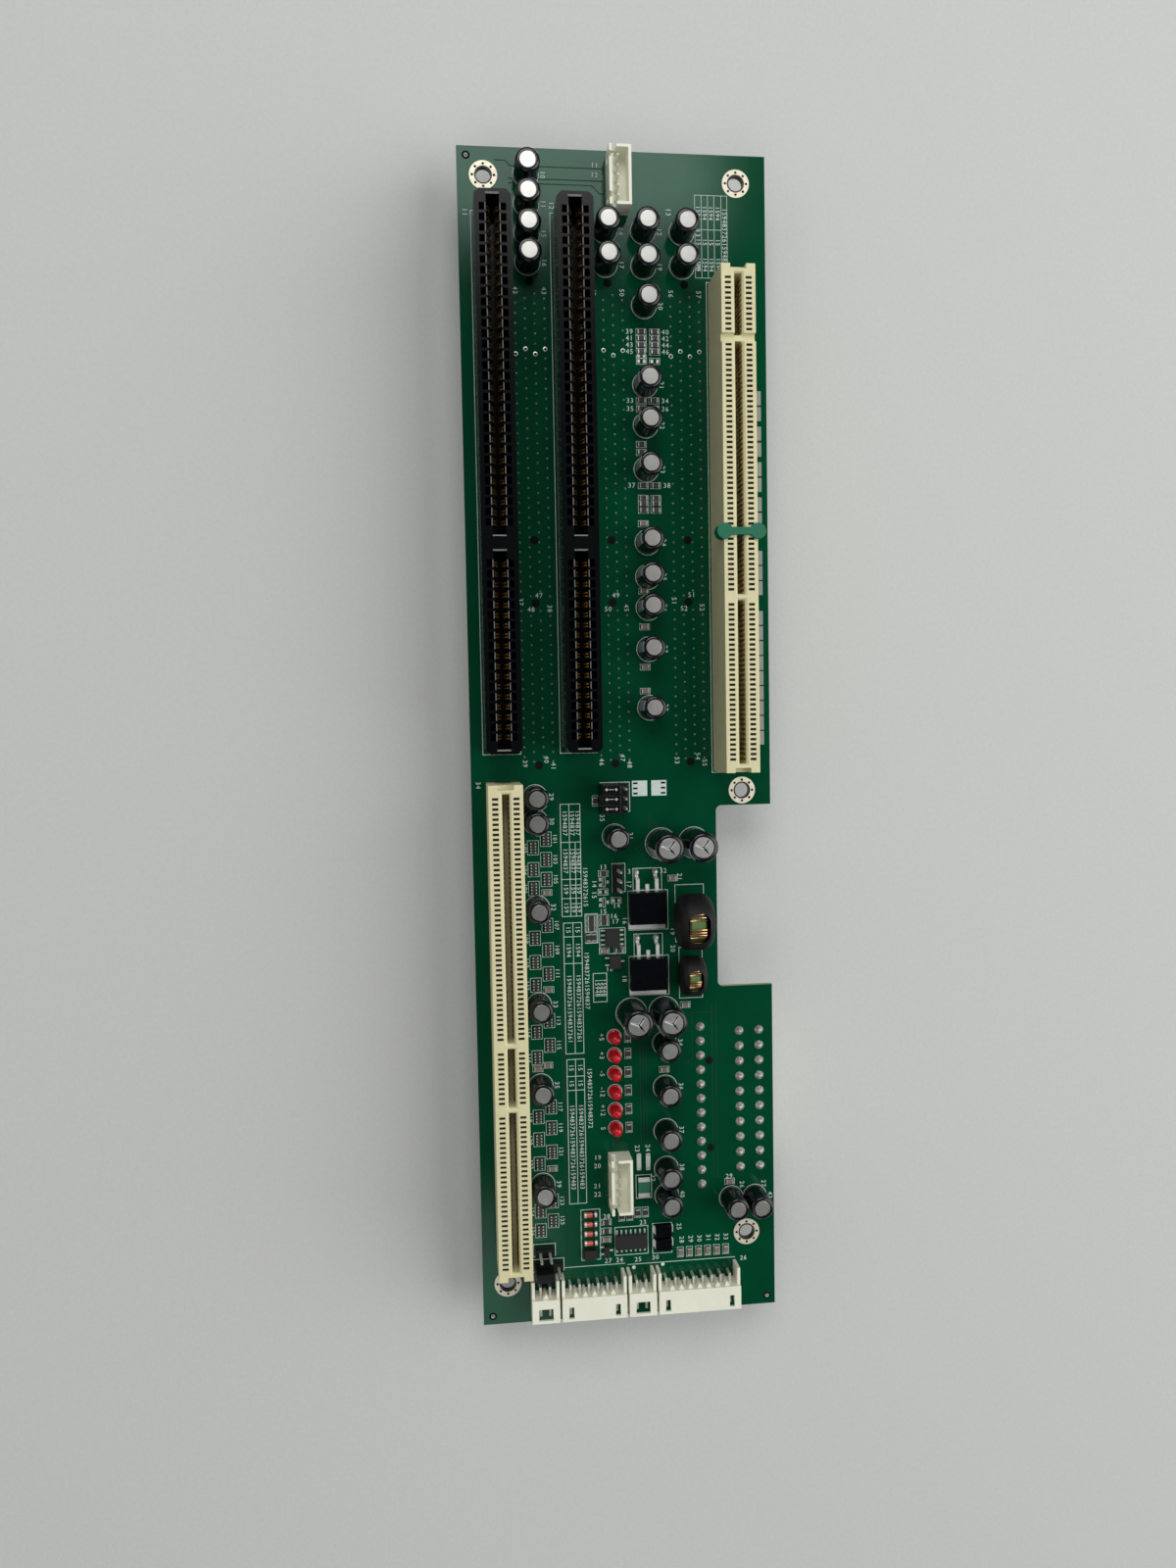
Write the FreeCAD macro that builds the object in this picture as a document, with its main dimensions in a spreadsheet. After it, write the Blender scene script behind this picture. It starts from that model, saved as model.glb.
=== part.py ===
import FreeCAD, Part
import math
import os
import re
import Sketcher

# Passive backplane board for a flat rack computer, lying on its rear card slots.
# Frame: +Z up through the component side, +Y along the board towards the slot end,
# origin under the middle of the board, on the plane that the rear slots stand on.
# Places are measured as a designer does it: across from the left edge, down from the top edge.

SIZES = {
    # circuit board
    "board_thick": 1.6,
    "edge_to_slot": 8.25,
    "slot_pitch": 20.32,
    "slot_to_edge": 11.09,
    "isa_edge": 20.8,
    "pci_edge": 36.5,
    "bay_to_cpu": 8.65,
    "cpu_to_edge": 21.95,
    "notch_after_cpu_start": 4.15,
    "notch_long": 49.25,
    "notch_deep": 15.0,
    "notch_round": 1.5,
    "hole_wide": 4.0,
    "hole_left": 6.7,
    "hole_right": 7.8,
    "hole_top": 7.1,
    "hole_before_notch": 3.95,
    "hole_low_left": 11.0,
    "hole_low_right": 20.7,
    # long black slots in two sections
    "isa_pitch": 2.54,
    "isa_wide": 9.1,
    "isa_high": 14.2,
    "isa_end": 4.3,
    "isa_corner": 1.2,
    "isa_slot_wide": 3.3,
    "isa_slot_deep": 9.0,
    "isa_slot_end": 3.1,
    "isa_cell_wide": 1.4,
    "isa_cell_long": 1.8,
    "isa_cell_out": 2.65,
    "isa_cell_deep": 6.0,
    # ivory slots in three sections
    "pci_pitch": 1.27,
    "pci_wide": 8.8,
    "pci_high": 15.0,
    "pci_end": 3.5,
    "pci_recess_wide": 4.05,
    "pci_recess_deep": 1.25,
    "pci_slot_wide": 1.85,
    "pci_slot_deep": 8.6,
    "pci_slot_end": 1.15,
    "pci_lead_in": 0.47,
    "pci_valley_long": 2.0,
    "pci_valley_deep": 1.3,
    "rear_slot_shift": 9.66,
    # keying clip
    "clip_long": 1.9,
    "clip_thick": 0.9,
    "clip_wing_out": 2.0,
    "clip_wing_long": 4.2,
    "clip_wing_drop": 2.6,
    "clip_tongue_deep": 5.0,
    "clip_play": 0.1,
    "clip_grip": 0.05,
    # aluminium capacitors
    "cap_wide": 6.3,
    "cap_high": 8.5,
    "big_cap_wide": 8.0,
    "big_cap_high": 13.0,
    # upright wafer headers
    "wafer_pitch": 2.5,
    "wafer_end": 2.45,
    "wafer_wide": 5.75,
    "wafer_high": 7.0,
    "wafer_wall": 0.8,
    "wafer_floor": 2.0,
    "wafer_slit": 1.4,
    "wafer_corner": 1.1,
    "wafer_pin": 0.64,
    "wafer_pin_high": 6.7,
    "wafer_pin_side": 0.55,
    # side-entry wafer headers on the bottom edge
    "edge_high": 6.1,
    "edge_deep": 8.2,
    "edge_inset": 0.3,
    "edge_wall": 0.8,
    "edge_back": 1.6,
    "edge_cheek": 4.6,
    "edge_cheek_high": 5.2,
    "edge_gap": 0.65,
    "edge_pin_level": 3.2,
    "edge_pin_drop": 2.4,
    "edge_pin_reach": 5.4,
    "edge_slit": 1.4,
    "edge_slit_long": 3.6,
    # jumper blocks
    "jumper_pitch": 2.54,
    "jumper_base_high": 2.5,
    "jumper_pin": 0.64,
    "jumper_pin_high": 8.4,
    "shunt_long": 4.9,
    "shunt_wide": 2.4,
    "shunt_high": 5.6,
    "shunt_cover": 0.6,
    # lamps
    "lamp_wide": 3.0,
    "lamp_high": 4.6,
    "lamp_dome": 1.0,
    "lamp_pitch": 5.0,
    # power transistors
    "fet_wide": 10.0,
    "fet_long": 8.6,
    "fet_high": 4.4,
    "fet_tab_thick": 1.3,
    "fet_tab_out": 1.7,
    "fet_lead_wide": 1.0,
    "fet_lead_thick": 0.5,
    "fet_lead_out": 5.6,
    "fet_lead_foot": 2.2,
    "fet_lead_cropped": 2.0,
    "fet_lead_level": 2.2,
    "fet_lead_pitch": 2.54,
    "fet_step": 17.7,
    # ring chokes
    "choke_core_wide": 11.8,
    "choke_core_bore": 7.0,
    "choke_core_thick": 4.4,
    "choke_wire": 0.7,
    "choke_wire_play": 0.15,
    "choke_lead_out": 1.1,
    "choke_sleeve_wall": 0.5,
    "choke_sleeve_play": 0.35,
    "choke_sleeve_bevel": 1.1,
    "choke_window_wide": 4.6,
    "choke_window_long": 7.4,
    "choke_size_ratio": 0.71,
    # integrated circuits
    "lead_pitch": 1.27,
    "lead_wide": 0.45,
    "lead_thick": 0.25,
    "lead_out": 1.1,
    "lead_under": 0.3,
    "ic_wide": 3.9,
    "ic_long": 8.65,
    "ic_short": 4.9,
    "ic_high": 1.6,
    "switch_wide": 3.0,
    "switch_long": 3.5,
    "tiny_switch_wide": 1.4,
    "tiny_switch_long": 2.9,
    # diodes, fuse and moulded capacitor
    "glass_wide": 1.5,
    "glass_long": 3.5,
    "glass_pitch": 2.6,
    "diode_long": 4.5,
    "diode_wide": 3.1,
    "diode_high": 2.2,
    "diode_pitch": 3.8,
    "moulded_cap_long": 3.2,
    "moulded_cap_wide": 2.7,
    "fuse_long": 5.6,
    "fuse_wide": 3.2,
    "fuse_high": 0.9,
    # resistor arrays
    "array_long": 3.2,
    "array_wide": 1.6,
    "array_high": 0.6,
    # rear power connectors
    "atx_row": 4.2,
    "atx_column": 5.5,
    "atx_end": 2.7,
    "atx_wide": 9.6,
    "atx_high": 12.8,
    "atx_cell": 3.4,
    "atx_cell_deep": 9.6,
    "atx_pin": 1.07,
    "atx_pin_below": 1.6,
    "atx_latch_long": 4.0,
    "atx_latch_out": 1.0,
    "atx_latch_high": 2.4,
    "at_pitch": 3.96,
    "at_end": 2.0,
    "at_base_wide": 6.4,
    "at_base_high": 3.2,
    "at_rib_thick": 1.2,
    "at_rib_high": 7.6,
    "at_pin": 1.14,
    "at_pin_high": 11.2,
}

ISA_SECTIONS = ((0, 30), (34, 51))
KEYED_FOR_3V = ((0, 10), (13, 61), (64, 95))
KEYED_FOR_5V = ((0, 48), (51, 61), (64, 95))
ISA_LAST = ISA_SECTIONS[-1][1]
PCI_LAST = KEYED_FOR_3V[-1][1]
OTHER_KEY = 49.5
SLOT_COLUMNS = 3
ATX_ROWS = 10
AT_PINS = 12
UPRIGHT_PINS = 5
LAMPS = 6
# Rows of resistor arrays in the two columns, down from the start of the processor slot.
LEFT_ARRAYS = (14.1, 19.9, 24.9, 38.2, 44.7, 50.8, 63.5, 70.4, 86.5, 92.7, 99.3, 112.3, 117.7)
RIGHT_ARRAYS = (11.9, 17.3, 22.6, 34.9, 41.5, 47.9, 60.6, 67.2, 84.0, 89.7, 96.3, 109.8, 115.2)
# The many small round pieces are drawn with few flat sides, which keeps the board light.
SMALL_ROUND = 10
LARGE_ROUND = 16

UPSIDE_DOWN = FreeCAD.Rotation(FreeCAD.Vector(0, 1, 0), 180)
ACROSS = FreeCAD.Rotation(FreeCAD.Vector(0, 1, 0), 90)

doc = FreeCAD.newDocument("Backplane")
sheet = doc.addObject("Spreadsheet::Sheet", "Sizes")
for row, (alias, number) in enumerate(SIZES.items(), start=1):
    sheet.set(f"A{row}", alias)
    sheet.set(f"B{row}", str(number))
    sheet.setAlias(f"B{row}", alias)
doc.recompute()

nodes = []


def tied(text):
    """Turns plain size names into references to the sheet."""
    return re.sub(r"[a-z]\w*", lambda word: f"Sizes.{word[0]}" if word[0] in SIZES else word[0], text)


def value(text):
    return float(sheet.evalExpression(tied(text)))


def bind(piece, name, text):
    piece.setExpression(name, tied(text))


# Distances that follow from the sizes.
BOARD_WIDTH = f"(edge_to_slot + {SLOT_COLUMNS} * slot_pitch + slot_to_edge)"
UPPER_BAY = f"max(isa_edge + {ISA_LAST} * isa_pitch; pci_edge + {PCI_LAST} * pci_pitch)"
CPU_START = f"({UPPER_BAY} + bay_to_cpu)"
BOARD_LENGTH = f"({CPU_START} + {PCI_LAST} * pci_pitch + cpu_to_edge)"
NOTCH_START = f"({CPU_START} + notch_after_cpu_start)"
NOTCH_EDGE = f"({BOARD_WIDTH} - notch_deep)"
BOARD_TOP = "(pci_high + board_thick)"
BOARD_UNDER = "pci_high"


def slot_line(column):
    return f"(edge_to_slot + {column} * slot_pitch)"


def keep(piece, label):
    """Gives a finished sub-part its name."""
    piece.Label = label
    nodes.append(piece)
    return piece


def place(piece, across, down, up, flipped=False):
    """Puts a piece's own origin at a point measured from the board's top left corner."""
    if flipped:
        piece.Placement = FreeCAD.Placement(FreeCAD.Vector(), UPSIDE_DOWN)
    bind(piece, "Placement.Base.x", f"{across} - {BOARD_WIDTH} / 2")
    bind(piece, "Placement.Base.y", f"{BOARD_LENGTH} / 2 - ({down})")
    bind(piece, "Placement.Base.z", up)
    return piece


def block(across, down, up, wide, long, high):
    """A plain block centred on a point of the board."""
    piece = doc.addObject("Part::Box", "block")
    bind(piece, "Length", wide)
    bind(piece, "Width", long)
    bind(piece, "Height", high)
    return place(piece, f"{across} - ({wide}) / 2", f"{down} + ({long}) / 2", up)


def can(across, down, up, wide, high, sides):
    """A round can standing on a point of the board."""
    piece = doc.addObject("Part::Prism", "can")
    piece.Polygon = sides
    bind(piece, "Circumradius", f"{wide} / 2")
    bind(piece, "Height", high)
    return place(piece, across, down, up)


def group(label, pieces):
    """Like pieces in one sub-part, each a solid of its own."""
    compound = doc.addObject("Part::Compound", label)
    compound.Links = pieces
    return keep(compound, label)


def joined(pieces):
    fusion = doc.addObject("Part::MultiFuse", "joined")
    fusion.Shapes = pieces
    return fusion


def cut(base, tool):
    remainder = doc.addObject("Part::Cut", "cut")
    remainder.Base = base
    remainder.Tool = tool
    return remainder


def new_body(label):
    return keep(doc.addObject("PartDesign::Body", label), label)


def new_sketch(body, plane="XY_Plane", height="0"):
    """A sketch on one of the body's own planes, or at a height above it."""
    sketch = body.newObject("Sketcher::SketchObject", "profile")
    support = next(item for item in body.Origin.OriginFeatures if item.Role == plane)
    sketch.AttachmentSupport = [(support, "")]
    sketch.MapMode = "FlatFace"
    bind(sketch, "AttachmentOffset.Base.z", height)
    return sketch


def fix_point(sketch, curve, end, corner):
    for kind, text in zip(("DistanceX", "DistanceY"), corner):
        index = sketch.addConstraint(Sketcher.Constraint(kind, curve, end, value(text)))
        bind(sketch, f"Constraints[{index}]", text)


def outline(sketch, corners):
    """A closed outline of straight lines whose corners are bound to the sizes."""
    first = sketch.GeometryCount
    count = len(corners)
    points = [FreeCAD.Vector(value(x), value(y), 0) for x, y in corners]
    for index in range(count):
        sketch.addGeometry(Part.LineSegment(points[index], points[(index + 1) % count]))
    for index in range(count):
        following = first + (index + 1) % count
        sketch.addConstraint(Sketcher.Constraint("Coincident", first + index, 2, following, 1))
    for index, corner in enumerate(corners):
        fix_point(sketch, first + index, 1, corner)


def oblong(sketch, left, right, low, high):
    outline(sketch, [(left, low), (right, low), (right, high), (left, high)])


def many_sided(sketch, radius, sides):
    """A regular outline with a flat side, not a corner, on each axis."""
    corners = []
    for index in range(sides):
        turn = 2 * math.pi * (index + 0.5) / sides
        corners.append((f"({radius}) * {math.cos(turn):.6f}", f"({radius}) * {math.sin(turn):.6f}"))
    outline(sketch, corners)


def round_hole(sketch, across, up, wide):
    centre = FreeCAD.Vector(value(across), value(up), 0)
    curve = sketch.addGeometry(Part.Circle(centre, FreeCAD.Vector(0, 0, 1), value(wide) / 2))
    fix_point(sketch, curve, 3, (across, up))
    index = sketch.addConstraint(Sketcher.Constraint("Diameter", curve, value(wide)))
    bind(sketch, f"Constraints[{index}]", wide)


def pad(body, sketch, length):
    feature = body.newObject("PartDesign::Pad", "pad")
    feature.Profile = sketch
    bind(feature, "Length", length)
    return feature


def pocket(body, sketch, depth, taper=0):
    """Cuts into the body, against the sketch's normal, and makes sure that it cut something."""
    doc.recompute()
    before = body.Shape.Volume
    feature = body.newObject("PartDesign::Pocket", "pocket")
    feature.Profile = sketch
    feature.TaperAngle = taper
    bind(feature, "Length", depth)
    doc.recompute()
    if body.Shape.Volume >= before:
        raise ValueError(f"{body.Label}: a pocket cuts nothing")
    return feature


def repeat(body, feature, sketch, axis, count, spacing, backwards=False):
    pattern = body.newObject("PartDesign::LinearPattern", "pattern")
    pattern.Originals = [feature]
    pattern.Direction = (sketch, [axis])
    pattern.Reversed = backwards
    pattern.Occurrences = round(count)
    bind(pattern, "Length", f"{round(count) - 1} * {spacing}")
    body.Tip = pattern


def upright_edges(body, wanted):
    """Names of the upright straight edges whose foot satisfies the test."""
    names = []
    for index, edge in enumerate(body.Shape.Edges, start=1):
        ends = [vertex.Point for vertex in edge.Vertexes]
        if len(ends) == 2 and abs(ends[0].x - ends[1].x) + abs(ends[0].y - ends[1].y) < 1e-6:
            if wanted(ends[0]):
                names.append(f"Edge{index}")
    return names


def rounded(body, base, names, radius):
    feature = body.newObject("PartDesign::Fillet", "rounding")
    feature.Base = (base, names)
    bind(feature, "Radius", radius)


def bevelled(body, base, names, size):
    feature = body.newObject("PartDesign::Chamfer", "bevel")
    feature.Base = (base, names)
    bind(feature, "Size", size)


def level_edges(body, heights):
    """Names of the edges that lie level at one of the given heights."""
    names = []
    for index, edge in enumerate(body.Shape.Edges, start=1):
        for height in heights:
            if all(abs(vertex.Point.z - height) < 1e-6 for vertex in edge.Vertexes):
                names.append(f"Edge{index}")
    return names


def round_form(radius, low, high, sides, bevel, both_ends):
    """A round body along its own axis, with its far rim or both rims bevelled."""
    body = doc.addObject("PartDesign::Body", "round")
    sketch = new_sketch(body, height=low)
    many_sided(sketch, radius, sides)
    base = pad(body, sketch, f"{high} - ({low})")
    doc.recompute()
    rims = [value(high)]
    if both_ends:
        rims.append(value(low))
    bevelled(body, base, level_edges(body, rims), bevel)
    return body


def circuit_board():
    body = new_body("circuit_board")
    half_wide = f"{BOARD_WIDTH} / 2"
    half_long = f"{BOARD_LENGTH} / 2"
    inner = f"{half_wide} - notch_deep"
    notch_high = f"{half_long} - {NOTCH_START}"
    notch_low = f"{notch_high} - notch_long"
    sketch = new_sketch(body)
    outline(sketch, [
        (f"-{half_wide}", f"-{half_long}"),
        (half_wide, f"-{half_long}"),
        (half_wide, notch_low),
        (inner, notch_low),
        (inner, notch_high),
        (half_wide, notch_high),
        (half_wide, half_long),
        (f"-{half_wide}", half_long),
    ])
    base = pad(body, sketch, "board_thick")
    doc.recompute()
    notch_x = value(inner)
    corners = upright_edges(body, lambda foot: abs(foot.x - notch_x) < 1e-6)
    rounded(body, base, corners, "notch_round")
    holes = new_sketch(body, height="board_thick")
    left = f"hole_left - {half_wide}"
    right = f"{half_wide} - hole_right"
    round_hole(holes, left, f"{half_long} - hole_top", "hole_wide")
    round_hole(holes, right, f"{half_long} - hole_top", "hole_wide")
    round_hole(holes, right, f"{notch_high} + hole_before_notch", "hole_wide")
    round_hole(holes, right, f"hole_low_right - {half_long}", "hole_wide")
    round_hole(holes, left, f"hole_low_left - {half_long}", "hole_wide")
    pocket(body, holes, "board_thick")
    place(body, f"{BOARD_WIDTH} / 2", f"{BOARD_LENGTH} / 2", BOARD_UNDER)


def isa_slot(label, column):
    """A long slot with an open contact cell on each side of every card contact."""
    body = new_body(label)
    low = f"-{ISA_LAST} * isa_pitch"
    sketch = new_sketch(body)
    oblong(sketch, "-isa_wide / 2", "isa_wide / 2", f"{low} - isa_end", "isa_end")
    base = pad(body, sketch, "isa_high")
    doc.recompute()
    bevelled(body, base, upright_edges(body, lambda foot: True), "isa_corner")
    mouths = new_sketch(body, height="isa_high")
    divider_high = f"-{ISA_SECTIONS[0][1]} * isa_pitch - isa_slot_end"
    divider_low = f"-{ISA_SECTIONS[1][0]} * isa_pitch + isa_slot_end"
    oblong(mouths, "-isa_slot_wide / 2", "isa_slot_wide / 2", divider_high, "isa_slot_end")
    oblong(mouths, "-isa_slot_wide / 2", "isa_slot_wide / 2", f"{low} - isa_slot_end", divider_low)
    pocket(body, mouths, "isa_slot_deep")
    for first, last in ISA_SECTIONS:
        cells = new_sketch(body, height="isa_high")
        middle = f"-{first} * isa_pitch"
        for side in ("-", ""):
            centre = f"{side}isa_cell_out"
            oblong(cells, f"{centre} - isa_cell_wide / 2", f"{centre} + isa_cell_wide / 2",
                   f"{middle} - isa_cell_long / 2", f"{middle} + isa_cell_long / 2")
        cell = pocket(body, cells, "isa_cell_deep")
        repeat(body, cell, cells, "V_Axis", last - first + 1, "isa_pitch", backwards=True)
    place(body, slot_line(column), "isa_edge", BOARD_TOP)


def pci_slot(label, across, down, sections, rear=False, valley=True):
    """A slot in three sections, with a recess in each end and a lead-in along the mouth."""
    body = new_body(label)
    half = "pci_wide / 2"
    inner = "pci_recess_wide / 2"
    low = f"-{PCI_LAST} * pci_pitch - pci_end"
    low_inner = f"{low} + pci_recess_deep"
    high = "pci_end"
    high_inner = "pci_end - pci_recess_deep"
    sketch = new_sketch(body)
    outline(sketch, [
        (f"-{half}", low), (f"-{inner}", low), (f"-{inner}", low_inner),
        (inner, low_inner), (inner, low), (half, low),
        (half, high), (inner, high), (inner, high_inner),
        (f"-{inner}", high_inner), (f"-{inner}", high), (f"-{half}", high),
    ])
    pad(body, sketch, "pci_high")
    if valley:
        key = new_sketch(body, height="pci_high")
        middle = f"-{(sections[0][1] + sections[1][0]) / 2} * pci_pitch"
        oblong(key, f"-{half}", half, f"{middle} - pci_valley_long / 2", f"{middle} + pci_valley_long / 2")
        pocket(body, key, "pci_valley_deep")
    for margin, depth, taper in (("0", "pci_slot_deep", 0), ("pci_lead_in", "pci_lead_in", -45)):
        mouths = new_sketch(body, height="pci_high")
        for first, last in sections:
            side = f"pci_slot_wide / 2 + {margin}"
            end = f"pci_slot_end + {margin}"
            oblong(mouths, f"-({side})", side,
                   f"-{last} * pci_pitch - ({end})", f"-{first} * pci_pitch + {end}")
        pocket(body, mouths, depth, taper)
    place(body, across, down, BOARD_UNDER if rear else BOARD_TOP, flipped=rear)


def keying_clip():
    """A small plug with two rounded finger wings that blocks the other key position of the front slot."""
    across = slot_line(SLOT_COLUMNS)
    down = f"pci_edge + {OTHER_KEY} * pci_pitch"
    top = f"{BOARD_TOP} + pci_high"
    reach = "pci_wide / 2 + clip_wing_out - clip_wing_long / 2"
    bar = block(across, down, top, f"2 * ({reach})", "clip_long", "clip_thick")
    wings = [can(f"{across} {side} ({reach})", down, f"{top} - clip_wing_drop", "clip_wing_long",
                 "clip_wing_drop + clip_thick", SMALL_ROUND) for side in ("-", "+")]
    seat = block(across, down, f"{top} - clip_wing_drop", "pci_wide + 2 * clip_grip", "2 * clip_wing_long",
                 "clip_wing_drop")
    tongue = block(across, down, f"{top} - clip_tongue_deep",
                   "pci_slot_wide - 2 * clip_play", "clip_long", "clip_tongue_deep + clip_thick / 2")
    keep(joined([cut(joined([bar] + wings), seat), tongue]), "keying_clip")


def capacitors():
    """Small cans in columns beside the slots, and four large ones in the power area."""
    low_column = f"{slot_line(0)} + 8.4"
    upper = (
        (f"{slot_line(0)} + 9.3", (6.6, 13.9, 21.3, 28.6)),
        (f"{slot_line(1)} + 9.1", (20.1, 28.6)),
        (f"{slot_line(1)} + 19.2", (20.0, 28.9, 38.9, 59.2, 69.6, 81.0, 100.0, 109.0, 117.1, 128.0, 143.5)),
        (f"{slot_line(1)} + 29.4", (20.0, 28.6)),
    )
    lower = (
        (low_column, (0.7, 7.2, 30.1, 56.2, 78.1, 105.2)),
        (f"{slot_line(1)} + 9.1", (11.7,)),
        (f"{slot_line(1)} + 21.8", (68.2, 80.3, 92.3, 102.7, 110.2)),
        (f"{BOARD_WIDTH} - 12.0", (112.1,)),
        (f"{BOARD_WIDTH} - 5.4", (112.1,)),
    )
    small = [can(column, f"{row}", BOARD_TOP, "cap_wide", "cap_high", SMALL_ROUND)
             for column, rows in upper for row in rows]
    small += [can(column, f"{CPU_START} + {row}", BOARD_TOP, "cap_wide", "cap_high", SMALL_ROUND)
              for column, rows in lower for row in rows]
    group("small_capacitors", small)
    large = ((f"{slot_line(1)} + 21.6", 14.0), (f"{slot_line(1)} + 30.5", 14.0),
             (f"{slot_line(1)} + 12.9", 59.6), (f"{slot_line(1)} + 21.8", 59.6))
    for index, (column, row) in enumerate(large, start=1):
        piece = can(column, f"{CPU_START} + {row}", BOARD_TOP, "big_cap_wide", "big_cap_high", LARGE_ROUND)
        keep(piece, f"large_capacitor_{index}")


def upright_header(label, across, down):
    """A shrouded wafer: pin row off centre, two slits in the wall beside it and that wall's ends open."""
    span = f"{UPRIGHT_PINS - 1} * wafer_pitch"
    body = new_body(label)
    half = "wafer_wide / 2"
    end = f"({span}) / 2 + wafer_end"
    sketch = new_sketch(body)
    oblong(sketch, f"-{half}", half, f"-({end})", end)
    pad(body, sketch, "wafer_high")
    cavity = new_sketch(body, height="wafer_high")
    oblong(cavity, f"-{half} + wafer_wall", f"{half} - wafer_wall",
           f"-({end}) + wafer_wall", f"{end} - wafer_wall")
    pocket(body, cavity, "wafer_high - wafer_floor")
    slits = new_sketch(body, height="wafer_high")
    for side in ("-", ""):
        middle = f"{side}(({span}) / 2)"
        oblong(slits, f"-{half}", f"-{half} + wafer_wall",
               f"{middle} - wafer_slit / 2", f"{middle} + wafer_slit / 2")
    for outer, inner in ((end, f"{end} - wafer_wall"), (f"-({end})", f"-({end}) + wafer_wall")):
        oblong(slits, f"-{half} + wafer_wall", f"-{half} + wafer_wall + wafer_corner", outer, inner)
    pocket(body, slits, "wafer_high - wafer_floor")
    place(body, across, down, BOARD_TOP)
    pins = []
    for index in range(UPRIGHT_PINS):
        row = f"{down} + {index - (UPRIGHT_PINS - 1) / 2} * wafer_pitch"
        pins.append(block(f"{across} - wafer_pin_side", row, f"{BOARD_TOP} + wafer_floor",
                          "wafer_pin", "wafer_pin", "wafer_pin_high - wafer_floor"))
    return pins


def side_entry_headers():
    """Four wafers in a row on the bottom edge, open to the front and below, with bent pins behind them."""
    front = f"{BOARD_LENGTH} - edge_inset"
    start = f"{slot_line(0)} + 4.5"
    pins = []
    for number, count in enumerate((2, 6, 2, 8), start=1):
        wide = f"({count - 1} * wafer_pitch + 2 * wafer_end)"
        body = new_body(f"edge_header_{number}")
        plan = new_sketch(body)
        oblong(plan, "0", wide, "0", "edge_deep")
        pad(body, plan, "edge_high")
        cheeks = new_sketch(body)
        back = "edge_deep + edge_cheek"
        oblong(cheeks, "0", "edge_wall", "edge_deep", back)
        oblong(cheeks, f"{wide} - edge_wall", wide, "edge_deep", back)
        pad(body, cheeks, "edge_cheek_high")
        mouth = new_sketch(body, "XZ_Plane")
        oblong(mouth, "edge_wall", f"{wide} - edge_wall", "0", "edge_high - edge_wall")
        pocket(body, mouth, "edge_deep - edge_back")
        slits = new_sketch(body, height="edge_high")
        spans = [("wafer_end", "wafer_end"), (f"{wide} - wafer_end", f"{wide} - wafer_end")]
        if count == 2:
            spans = [("wafer_end", f"{wide} - wafer_end")]
        for first, last in spans:
            oblong(slits, f"{first} - edge_slit / 2", f"{last} + edge_slit / 2", "0", "edge_slit_long")
        pocket(body, slits, "edge_wall")
        holes = new_sketch(body, "XZ_Plane")
        low = "edge_pin_level - wafer_pin / 2"
        oblong(holes, "wafer_end - wafer_pin / 2", "wafer_end + wafer_pin / 2", low, f"{low} + wafer_pin")
        hole = pocket(body, holes, "edge_deep")
        repeat(body, hole, holes, "H_Axis", count, "wafer_pitch")
        place(body, start, front, BOARD_TOP)
        pins += [bent_pin(f"{start} + wafer_end + {index} * wafer_pitch", front) for index in range(count)]
        start = f"{start} + {wide} + edge_gap"
    group("edge_header_pins", pins)


def bent_pin(across, front):
    """A square pin that runs back through the wafer's wall and turns down to the board."""
    level = f"{BOARD_TOP} + edge_pin_level - wafer_pin / 2"
    run = "edge_pin_reach + edge_back + edge_pin_drop"
    start = f"{front} - edge_deep + edge_back + edge_pin_reach"
    flat = block(across, f"{start} - ({run}) / 2", level, "wafer_pin", run, "wafer_pin")
    drop = block(across, f"{start} - ({run}) + wafer_pin / 2", BOARD_TOP,
                 "wafer_pin", "wafer_pin", "edge_pin_level")
    return joined([flat, drop])


def jumper_block(label, across, down, columns, rows, bridges):
    """A moulded strip of square pins; each bridge shorts a pin to the one on its right."""
    body = new_body(label)
    wide = f"{columns} * jumper_pitch"
    long = f"{rows} * jumper_pitch"
    plan = new_sketch(body)
    oblong(plan, f"-{wide} / 2", f"{wide} / 2", f"-{long} / 2", f"{long} / 2")
    pad(body, plan, "jumper_base_high")
    place(body, across, down, BOARD_TOP)
    pins = []
    shunts = []
    for column in range(columns):
        for row in range(rows):
            x = f"{across} + {column - (columns - 1) / 2} * jumper_pitch"
            y = f"{down} + {row - (rows - 1) / 2} * jumper_pitch"
            covered = (column, row) in bridges or (column - 1, row) in bridges
            top = "jumper_base_high + shunt_high - shunt_cover" if covered else "jumper_pin_high"
            pins.append(block(x, y, f"{BOARD_TOP} + jumper_base_high", "jumper_pin", "jumper_pin",
                              f"{top} - jumper_base_high"))
            if (column, row) in bridges:
                shunts.append(shunt(f"{x} + jumper_pitch / 2", y))
    return pins, shunts


def shunt(across, down):
    """A two-way cap over a pair of pins, open underneath."""
    low = f"{BOARD_TOP} + jumper_base_high"
    shell = block(across, down, low, "shunt_long", "shunt_wide", "shunt_high")
    bores = [block(f"{across} {side} jumper_pitch / 2", down, low, "jumper_pin", "jumper_pin",
                   "shunt_high - shunt_cover") for side in ("-", "+")]
    return cut(shell, joined(bores))


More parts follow.
